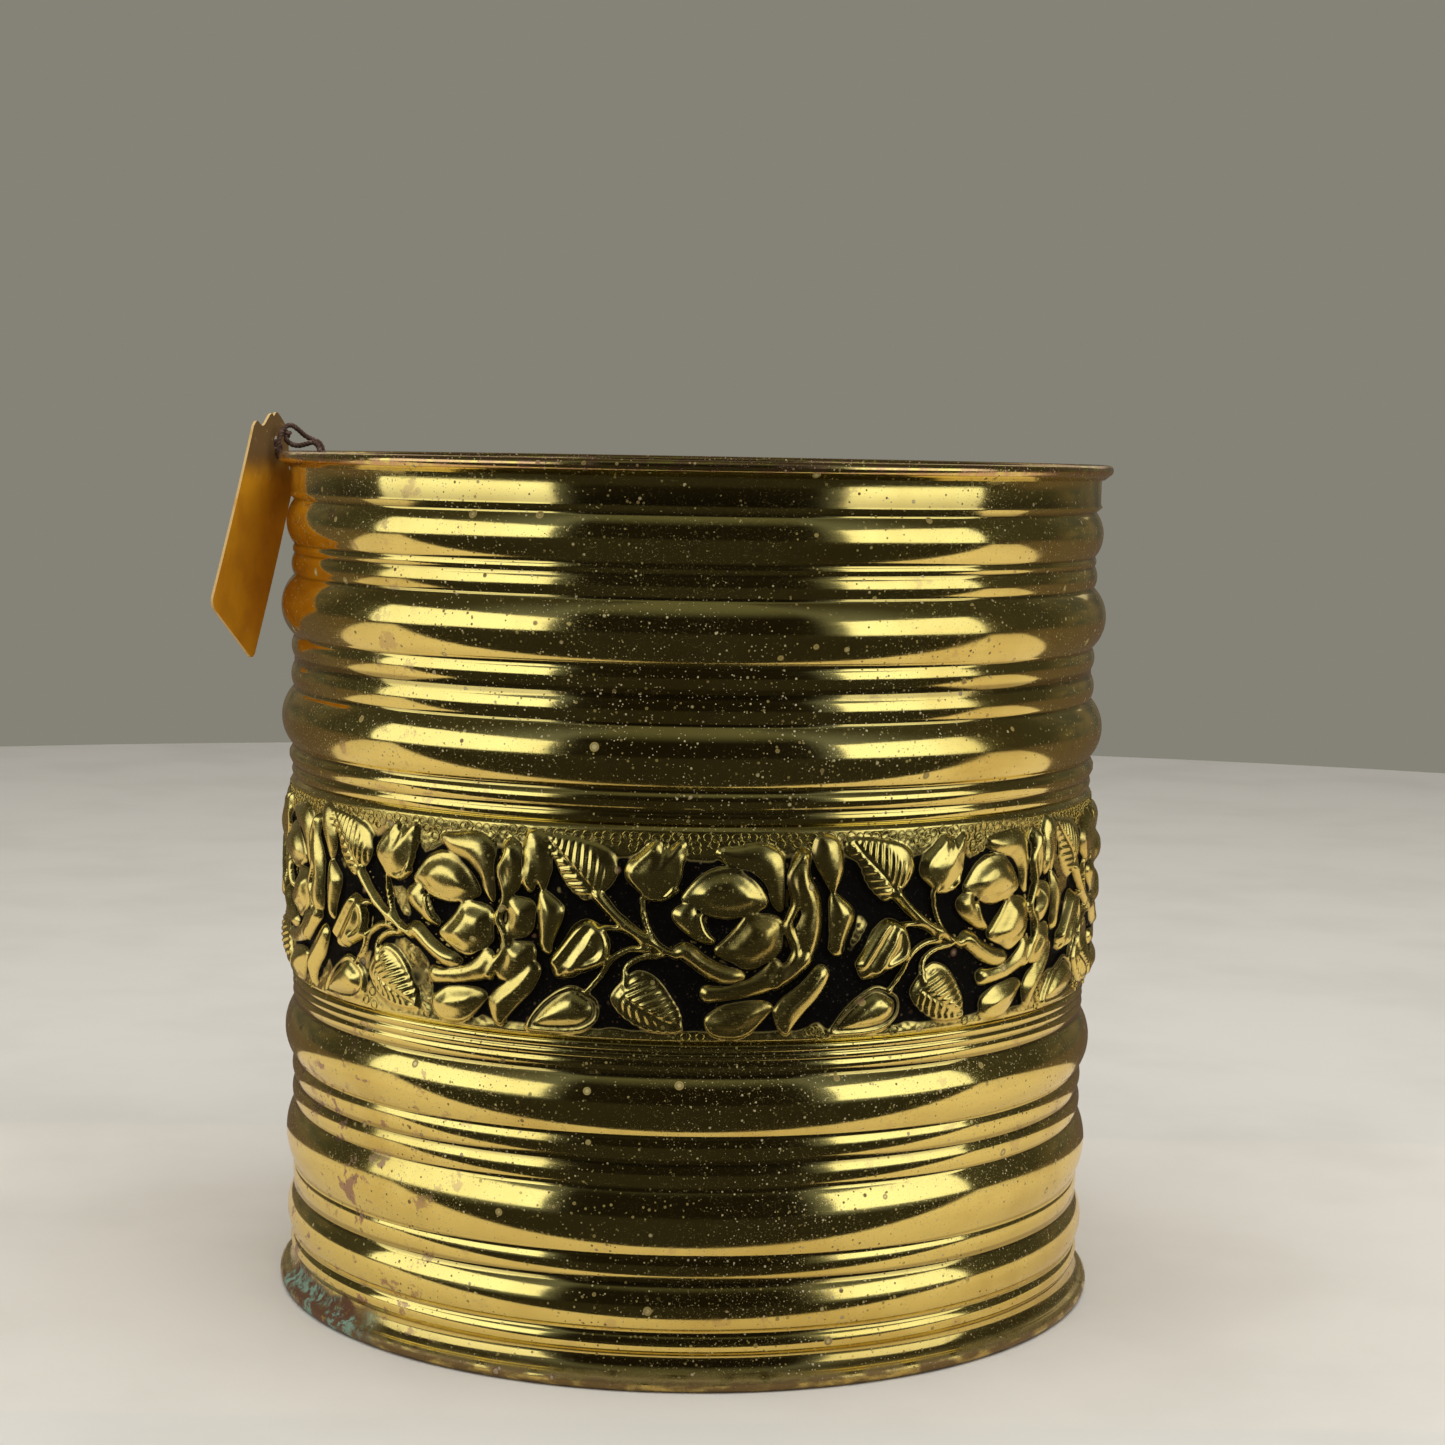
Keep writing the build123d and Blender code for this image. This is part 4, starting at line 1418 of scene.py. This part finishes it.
@dataclass
class RingPunches:
    """The small ring punch marks along the band's upper border and over its ground."""

    shape: DrumShape
    ring_radius: float = 1.25
    wire_radius: float = 0.26
    rows: tuple[Pair, ...] = ((156.4, 2.75), (154.6, 4.6))
    scattered: int = 260
    seam_clear: float = 3.6
    seed: int = 5

    @staticmethod
    def punch_tree() -> bpy.types.NodeTree:
        """A Geometry Nodes tree that sets a ring flat on the drum at each point it is given.

        Returns:
            The tree. Its inputs are the ring's radius, its wire's radius, the spread of the blows and a seed.
        """
        tree = bpy.data.node_groups.new("ring_punches", "GeometryNodeTree")
        face = tree.interface
        face.new_socket("Geometry", in_out="OUTPUT", socket_type="NodeSocketGeometry")
        for name, kind in (
            ("Geometry", "NodeSocketGeometry"),
            ("Ring Radius", "NodeSocketFloat"),
            ("Wire Radius", "NodeSocketFloat"),
            ("Spread", "NodeSocketFloat"),
            ("Seed", "NodeSocketInt"),
            ("Finish", "NodeSocketMaterial"),
        ):
            face.new_socket(name, in_out="INPUT", socket_type=kind)
        graph = Graph(tree)
        given = graph.add("NodeGroupInput")
        ring = graph.add(
            "GeometryNodeCurvePrimitiveCircle", None, {"Resolution": 14, "Radius": given.out("Ring Radius")}
        )
        wire = graph.add(
            "GeometryNodeCurvePrimitiveCircle", None, {"Resolution": 4, "Radius": given.out("Wire Radius")}
        )
        hoop = graph.add("GeometryNodeCurveToMesh", None, {"Curve": ring, "Profile Curve": wire})
        spot = graph.add("GeometryNodeInputPosition")
        x, y, _ = graph.parts(spot)
        out = graph.vector(x, y, 0.0)
        turn = graph.add("FunctionNodeAlignRotationToVector", {"axis": "Z"}, {"Vector": out})
        size = graph.add(
            "FunctionNodeRandomValue",
            {"data_type": "FLOAT"},
            {2: 1.0 - given.out("Spread"), 3: 1.0 + given.out("Spread"), "Seed": given.out("Seed")},
            output=1,
        )
        placed = graph.add(
            "GeometryNodeInstanceOnPoints",
            None,
            {"Points": given, "Instance": hoop, "Rotation": turn, "Scale": graph.vector(size, size, 1.0)},
        )
        real = graph.add("GeometryNodeRealizeInstances", None, {"Geometry": placed})
        smooth = graph.add("GeometryNodeSetShadeSmooth", None, {"Geometry": real})
        finish = given.out("Finish")
        done = graph.add("GeometryNodeSetMaterial", None, {"Geometry": smooth, "Material": finish})
        graph.finish(done)
        return tree

    def build(self, bare: np.ndarray) -> bpy.types.Object:
        """The punch marks, as one piece.

        Args:
            bare: spots of bare ground, as angle and height.

        Returns:
            The piece.
        """
        random = np.random.default_rng(self.seed)
        spots = []
        for height, pitch in self.rows:
            count = round(2 * math.pi * self.shape.band_radius / pitch)
            turn = np.linspace(-180.0, 180.0, count, endpoint=False) + random.normal(0.0, 0.16, count)
            spots.append(np.column_stack([turn, height + random.normal(0.0, 0.22, count)]))
        inner = bare[(bare[:, 1] > 100.6) & (bare[:, 1] < 153.8)]
        spots.append(inner[random.choice(len(inner), self.scattered, replace=False)])
        spots = np.vstack(spots)
        spots = spots[np.abs((spots[:, 0] + 180.0) % 360.0 - 180.0) < 180.0 - self.seam_clear]
        angle = np.radians(spots[:, 0])
        radius = self.shape.band_radius + 0.02
        places = np.column_stack([radius * np.sin(angle), -radius * np.cos(angle), spots[:, 1]])
        mesh = run_tree(
            self.punch_tree(),
            make_mesh(places, []),
            {
                "Ring Radius": self.ring_radius * MM,
                "Wire Radius": self.wire_radius * MM,
                "Spread": 0.12,
                "Seed": self.seed,
                "Finish": BRASS.material(),
            },
        )
        set_numbers(mesh, "hollow", np.full(len(mesh.vertices), 0.12))
        return attach(make_object("ring_punches", mesh, BRASS), Body.BASKET, "brass", "drum_wall")


# ---- the tag and its twine ------------------------------------------------------------------------


@dataclass
class SwingTag:
    """The card tag, which faces a little behind the left side and leans in its own plane."""

    width: float = 38.6
    shoulder: float = 62.4
    thick: float = 0.8
    plane: float = 131.2
    turn: float = 13.05
    tilt: float = 29.9
    corner: Pair = (-43.4, 267.6)
    hole_radius: float = 2.5
    hole_rise: float = 5.0
    foot_round: float = 3.0
    bow: float = 1.1
    columns: int = 56
    rows: int = 96
    crest: tuple[Pair, ...] = ((0.0, 0.0), (1.7, 2.7), (6.8, 4.0), (10.4, 10.5), (13.2, 11.2), (14.9, 13.6))

    def frame(self) -> tuple[np.ndarray, np.ndarray, np.ndarray, np.ndarray]:
        """Its front shoulder, and the directions across it, up it and away from the basket."""
        turn, tilt = math.radians(self.turn), math.radians(self.tilt)
        outward = np.array([-math.cos(turn), math.sin(turn), 0.0])
        tangent = np.array([math.sin(turn), math.cos(turn), 0.0])
        upright = np.array([0.0, 0.0, 1.0])
        across = tangent * math.cos(tilt) - upright * math.sin(tilt)
        along = tangent * math.sin(tilt) + upright * math.cos(tilt)
        offset, height = self.corner
        return outward * self.plane + tangent * offset + upright * height, across, along, outward

    def top_edge(self, x: np.ndarray) -> np.ndarray:
        """The crest's height above the shoulder line, at distances across the card."""
        half = list(self.crest)
        line = through(half + [(self.width - a, b) for a, b in reversed(half)], 12, False)
        order = np.argsort(line[:, 0])
        return np.interp(x, line[order, 0], line[order, 1])

    def foot_edge(self, x: np.ndarray) -> np.ndarray:
        """The foot's height, with its rounded corners."""
        r = self.foot_round
        over = np.clip(np.maximum(r - x, x - (self.width - r)), 0.0, r)
        return -self.shoulder + r - np.sqrt(r * r - over * over)

    def build(self) -> bpy.types.Object:
        """The card with its hole, its cut edge paler than its faces."""
        x = self.width * (1 - np.cos(np.linspace(0.0, math.pi, self.columns + 1))) / 2
        part = np.linspace(0.0, 1.0, self.rows + 1)[:, None]
        foot, top = self.foot_edge(x), self.top_edge(x)
        y = foot + (top - foot) * part
        x = np.broadcast_to(x, y.shape).copy()
        from_hole = np.hypot(x - self.width / 2, y - self.hole_rise)
        quads = []
        for row in range(self.rows):
            for column in range(self.columns):
                corners = [(row, column), (row, column + 1), (row + 1, column + 1), (row + 1, column)]
                if all(from_hole[c] > self.hole_radius * 0.86 for c in corners):
                    quads.append([r * (self.columns + 1) + c for r, c in corners])
        near = from_hole < self.hole_radius * 1.12
        reach = np.where(near, self.hole_radius / np.maximum(from_hole, 0.1), 1.0)
        x = self.width / 2 + (x - self.width / 2) * reach
        y = self.hole_rise + (y - self.hole_rise) * reach
        down = np.clip(-y / self.shoulder, 0.0, 1.0)
        middle = (x - self.width / 2) / (self.width / 2)
        bow = self.bow * down**2 + 0.35 * (1 - middle**2) * np.sin(down * math.pi)
        corner, across, along, outward = self.frame()
        spots = (
            corner
            + x[..., None] * across
            + y[..., None] * along
            + bow[..., None] * outward
        ).reshape(-1, 3)
        mesh = make_mesh(spots, quads)
        work = bmesh.new()
        work.from_mesh(mesh)
        bmesh.ops.delete(work, geom=[v for v in work.verts if not v.link_faces], context="VERTS")
        work.to_mesh(mesh)
        work.free()
        piece = make_object("swing_tag_card", mesh, MustardCard(), CutEdge())
        facing = mesh.polygons[0].normal.dot(outward)
        solid = piece.modifiers.new("thickness", "SOLIDIFY")
        solid.thickness = self.thick * MM
        solid.offset = 1.0 if facing > 0 else -1.0
        solid.material_offset_rim = 1
        solid.use_even_offset = False
        depsgraph = bpy.context.evaluated_depsgraph_get()
        card = bpy.data.meshes.new_from_object(piece.evaluated_get(depsgraph))
        piece.modifiers.clear()
        piece.data = face_outwards(card)
        for polygon in piece.data.polygons:
            polygon.use_smooth = False
        return attach(piece, Body.TAG, "card", "swing_tag")


@dataclass
class TagTwine:
    """The waxed twine: a loop over the rim, laid up from three strands, with a knot at each end."""

    length: float = 0.084
    radius: float = 0.84
    strand: float = 0.46
    strands: int = 3
    lay_length: float = 3.6
    sides: int = 9
    step: float = 0.18
    knot_size: float = 0.80
    knot_strand: float = 0.62

    ROUTE = (
        (-0.13440, 0.00640, 0.26230), (-0.13200, 0.00580, 0.26220), (-0.13195, 0.00390, 0.25930),
        (-0.13210, 0.00180, 0.25770), (-0.13220, -0.00040, 0.25870), (-0.13190, -0.00170, 0.26130),
        (-0.13130, -0.00080, 0.26440), (-0.13050, 0.00130, 0.26710), (-0.12850, 0.00350, 0.26830),
        (-0.12630, 0.00520, 0.26660), (-0.12430, 0.00630, 0.26460), (-0.12190, 0.00690, 0.26350),
        (-0.11950, 0.00690, 0.26260), (-0.11860, 0.00660, 0.25960), (-0.11930, 0.00620, 0.25530),
        (-0.12000, 0.00540, 0.25050), (-0.12020, 0.00390, 0.24670), (-0.12000, 0.00160, 0.24500),
        (-0.11960, -0.00070, 0.24680), (-0.11920, -0.00100, 0.25160), (-0.11880, 0.00020, 0.25650),
        (-0.11900, 0.00160, 0.26080), (-0.12090, 0.00250, 0.26300), (-0.12340, 0.00310, 0.26220),
        (-0.12620, 0.00310, 0.26140), (-0.12870, 0.00250, 0.26210), (-0.13010, 0.00170, 0.26380),
        (-0.12960, 0.00290, 0.26530),
    )

    def spline_line(self) -> np.ndarray:
        """Points read from the route's own smooth curve, in millimetres."""
        curve = bpy.data.curves.new("twine_route", "CURVE")
        curve.dimensions = "3D"
        spline = curve.splines.new("NURBS")
        spline.points.add(len(self.ROUTE) - 1)
        for point, place in zip(spline.points, self.ROUTE):
            point.co = (*place, 1.0)
        spline.order_u = 3
        spline.use_endpoint_u = True
        spline.resolution_u = 16
        carrier = bpy.data.objects.new("twine_route", curve)
        bpy.context.scene.collection.objects.link(carrier)
        depsgraph = bpy.context.evaluated_depsgraph_get()
        mesh = bpy.data.meshes.new_from_object(carrier.evaluated_get(depsgraph))
        line = points_of(mesh)
        bpy.data.objects.remove(carrier)
        return line

    def even(self, line: np.ndarray) -> np.ndarray:
        """The same line in equal steps."""
        gone = np.concatenate([[0.0], np.cumsum(np.linalg.norm(np.diff(line, axis=0), axis=1))])
        stops = np.linspace(0.0, gone[-1], round(gone[-1] / self.step) + 1)
        return np.column_stack([np.interp(stops, gone, line[:, axis]) for axis in range(3)])

    def knot(self, name: str, centre: np.ndarray, facing: np.ndarray, node: str) -> bpy.types.Object:
        """An overhand knot pulled into a small lump, with a cut tail.

        Args:
            name: the piece's name.
            centre: its middle.
            facing: the direction that the twine leaves it in.
            node: the frame's node that it stands for.

        Returns:
            The piece.
        """
        t = np.linspace(0.0, 2 * math.pi, 72, endpoint=False)
        loop = np.column_stack(
            [np.sin(t) + 2 * np.sin(2 * t), np.cos(t) - 2 * np.cos(2 * t), -1.25 * np.sin(3 * t)]
        )
        along = facing / np.linalg.norm(facing)
        side = np.cross(along, (0.2, 0.9, 0.4))
        side /= np.linalg.norm(side)
        aim = np.column_stack([side, np.cross(along, side), along])
        turns = centre + (loop * self.knot_size * 0.42) @ aim.T
        wax = self.knot_strand * (1 + 0.10 * np.sin(5 * t))
        lump = round_tube(turns, wax, self.sides, closed=True)
        tail_end = 2.1 * (0.5 * side + 0.75 * along + [0, 0, -0.3])
        tail_line = centre + np.outer(np.linspace(0.2, 1.0, 8), tail_end)
        tail = round_tube(tail_line, np.linspace(0.42, 0.5, 8), self.sides)
        work = bmesh.new()
        work.from_mesh(lump)
        work.from_mesh(tail)
        work.to_mesh(lump)
        work.free()
        piece = make_object(name, face_outwards(lump), WaxedThread())
        return attach(piece, Body.BASKET, "twine", node)

    def build(self, card: bpy.types.Object) -> bpy.types.Object:
        """The strands and both knots.

        Args:
            card: not used.

        Returns:
            The strands.
        """
        line = self.even(self.spline_line())
        side, other = turning_frames(line, False)
        gone = np.arange(len(line)) * self.step
        work = bmesh.new()
        for strand in range(self.strands):
            phase = 2 * math.pi * (gone / self.lay_length + strand / self.strands)
            lift = self.radius - self.strand
            way = lift * (np.cos(phase)[:, None] * side + np.sin(phase)[:, None] * other)
            plump = self.strand * (1 + 0.05 * np.sin(gone * 2.3 + strand))
            work.from_mesh(round_tube(line + way, plump, self.sides))
        mesh = bpy.data.meshes.new("twine")
        work.to_mesh(mesh)
        work.free()
        laid = make_object("laid_twine", face_outwards(mesh), WaxedThread())
        twine = attach(laid, Body.BASKET, "twine", "tag_twine")
        outer = self.knot("knot_by_the_tag", line[0], line[0] - line[6], "tag_knot")
        inner = self.knot("knot_on_the_loop", line[-1], line[-1] - line[-7], "twine_knot")
        log.info("twine: %.4f m along its curve", (len(line) - 1) * self.step * MM)
        return twine


# ---- the studio -----------------------------------------------------------------------------------


@dataclass(frozen=True)
class Softbox:
    """A soft light, by where it stands round the basket.

    Bearing and spread are degrees round the basket from the front; low and high are heights, and
    distance is from the axis, all in metres. Glow is how bright its face is.
    """

    name: str
    bearing: float
    spread: float
    low: float
    high: float
    distance: float
    glow: float
    tint: tuple[float, float, float] = (1.0, 1.0, 1.0)


@dataclass
class Studio:
    """The floor, the soft lights, the plain surroundings and the camera."""

    lens: float = 71.03
    distance: float = 0.9037
    height: float = 0.2645
    pitch: float = 5.580
    yaw: float = 0.606
    roll: float = 1.021
    floor_radius: float = 1.6
    board_front: float = -0.150
    board_back: float = 0.175
    board_level: float = 0.0002
    ceiling_watts: float = 40.0
    boxes: tuple[Softbox, ...] = (
        Softbox("left_window", -66.0, 56.0, 0.08, 1.08, 1.7, 1.2, (1.0, 0.99, 0.97)),
        Softbox("right_window", 61.0, 42.0, 0.08, 1.08, 1.7, 1.2, (1.0, 0.99, 0.97)),
        Softbox("left_rear_card", -158.0, 26.0, 0.62, 1.7, 1.9, 0.42, (1.0, 0.93, 0.82)),
        Softbox("right_rear_card", 158.0, 26.0, 0.62, 1.7, 1.9, 0.42, (1.0, 0.93, 0.82)),
    )

    def camera(self) -> None:
        """The camera, level with the rim and a little to the left of square."""
        yaw, pitch, roll = (math.radians(angle) for angle in (self.yaw, self.pitch, self.roll))
        forward = np.array([math.sin(yaw), math.cos(yaw), 0.0])
        right = np.array([math.cos(yaw), -math.sin(yaw), 0.0])
        upright = np.array([0.0, 0.0, 1.0])
        ahead = forward * math.cos(pitch) - upright * math.sin(pitch)
        up = forward * math.sin(pitch) + upright * math.cos(pitch)
        x_axis = right * math.cos(roll) + up * math.sin(roll)
        y_axis = up * math.cos(roll) - right * math.sin(roll)
        lens = bpy.data.cameras.new("camera")
        lens.lens = self.lens
        lens.clip_start = 0.01
        camera = bpy.data.objects.new("camera", lens)
        placed = Matrix.Identity(4)
        for row in range(3):
            placed[row][0], placed[row][1], placed[row][2] = x_axis[row], y_axis[row], -ahead[row]
        placed.translation = (0.0, -self.distance, self.height)
        camera.matrix_world = placed
        bpy.context.scene.collection.objects.link(camera)
        bpy.context.scene.camera = camera

    def floor(self) -> None:
        """The pale floor, and over it the board that only the brass mirrors, painted warm as light bounced
        back from the brass.
        """
        angles = np.radians(np.arange(0.0, 360.0, 3.0))
        disc = self.floor_radius * np.column_stack([np.cos(angles), np.sin(angles), np.zeros(len(angles))])
        half = self.floor_radius
        front, back = self.board_front, self.board_back
        corners = [(-half, front), (half, front), (half, back), (-half, back)]
        board = np.array([(x, y, self.board_level) for x, y in corners])
        for name, paint, outline in (("floor", PaleFloor(), disc), ("board", BOUNCE, board)):
            plane = make_object(name, make_mesh(outline / MM, [tuple(range(len(outline)))]), paint)
            mirrored = name == "board"
            plane.visible_glossy = mirrored
            plane.visible_camera = not mirrored
            plane.visible_diffuse = not mirrored
            plane.visible_shadow = not mirrored

    def light(self, box: Softbox) -> None:
        """One soft light, which the camera doesn't see."""
        lamp = bpy.data.lights.new(box.name, "AREA")
        lamp.shape = "RECTANGLE"
        lamp.size = 2 * box.distance * math.tan(math.radians(box.spread / 2))
        lamp.size_y = box.high - box.low
        lamp.energy = box.glow * math.pi * lamp.size * lamp.size_y
        lamp.color = box.tint
        holder = bpy.data.objects.new(box.name, lamp)
        bearing = math.radians(box.bearing)
        stand = Matrix.Translation((0.0, -box.distance, (box.low + box.high) / 2))
        out = Matrix.Rotation(bearing, 4, "Z") @ stand
        holder.matrix_world = out @ Matrix.Rotation(math.radians(90.0), 4, "X")
        holder.visible_camera = False
        bpy.context.scene.collection.objects.link(holder)

    def ceiling(self) -> None:
        """A wide light overhead for the floor and the card, which the brass doesn't mirror."""
        lamp = bpy.data.lights.new("ceiling", "AREA")
        lamp.size = 2.4
        lamp.energy = self.ceiling_watts
        holder = bpy.data.objects.new("ceiling", lamp)
        holder.location = (0.2, -0.45, 1.8)
        holder.visible_glossy = False
        holder.visible_camera = False
        bpy.context.scene.collection.objects.link(holder)

    def surroundings(self) -> None:
        """A plain backdrop tone, dim behind the camera and a muted olive elsewhere, as brass mirrors it."""
        world = bpy.data.worlds.new("surroundings")
        world.use_nodes = True
        graph = Graph(world.node_tree)
        way = graph.add("ShaderNodeTexCoord", output="Generated")
        x, y, z = graph.parts(way)
        cloud = graph.noise(way, 5.0, 2.0)
        wall = graph.mix(cloud.ramp(0.35, 0.65), (0.15, 0.12, 0.08, 1.0), (0.07, 0.068, 0.06, 1.0))
        aisle = graph.mix(y.ramp(0.40, 0.72), (0.045, 0.040, 0.030, 1.0), wall)
        mirrored = graph.mix(y.ramp(-0.75, -0.1), (0.17, 0.18, 0.20, 1.0), aisle)
        bearing = graph.add("ShaderNodeMath", {"operation": "ARCTAN2"}, {0: x, 1: y * -1.0})
        aside = graph.add("ShaderNodeMath", {"operation": "ABSOLUTE"}, {0: bearing})
        gap = graph.mix(z.ramp(0.90, 0.55), (0.11, 0.11, 0.09, 1.0), (0.010, 0.008, 0.006, 1.0))
        mirrored = graph.mix(aside.ramp(0.74, 0.56), mirrored, gap)
        beneath = graph.mix(y.ramp(-0.1, 0.4), (0.024, 0.021, 0.016, 1.0), (0.12, 0.085, 0.06, 1.0))
        mirrored = graph.mix(z.ramp(0.0, -0.12), mirrored, beneath)
        ray = graph.add("ShaderNodeLightPath", output="Is Camera Ray")
        soft = graph.add("ShaderNodeLightPath", output="Is Diffuse Ray")
        seen = graph.mix(soft, mirrored, (0.24, 0.235, 0.22, 1.0))
        seen = graph.mix(ray, seen, (0.235, 0.225, 0.185, 1.0))
        background = world.node_tree.nodes["Background"]
        graph.tree.links.new(seen.socket, background.inputs["Color"])
        bpy.context.scene.world = world

    def build(self) -> None:
        """Everything round the basket."""
        self.camera()
        self.floor()
        for box in self.boxes:
            self.light(box)
        self.ceiling()
        self.surroundings()
        bpy.context.scene.view_settings.view_transform = "Standard"


def dress_carried_nodes(finishes: dict[str, Finish]) -> None:
    """Gives the frame's own nodes that stay in view their finishes."""
    for name, finish in finishes.items():
        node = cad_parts[name]
        node.data.materials.clear()
        node.data.materials.append(finish.material())
        log.info("%s: kept from the frame, finished as %s", name, finish.name)


def main() -> None:
    """Builds the studio, the cord, the drum, its band and its tag, and reports each piece."""
    logging.basicConfig(level=logging.INFO, format="%(name)s: %(message)s")
    Studio().build()
    TagTwine().build(SwingTag().build())
    shape = DrumShape()
    Drum(shape).build()
    _, bare = RoseBand(shape).build()
    RingPunches(shape).build(bare)
    dress_carried_nodes(
        {
            "rim_wire": STEEL_WIRE,
            "foot_wire": STEEL_WIRE,
            "seam_solder": SOLDER,
            "bottom_pan": PAN_BRASS,
            "pan_solder": SOLDER,
        }
    )


if __name__ == "__main__":
    main()
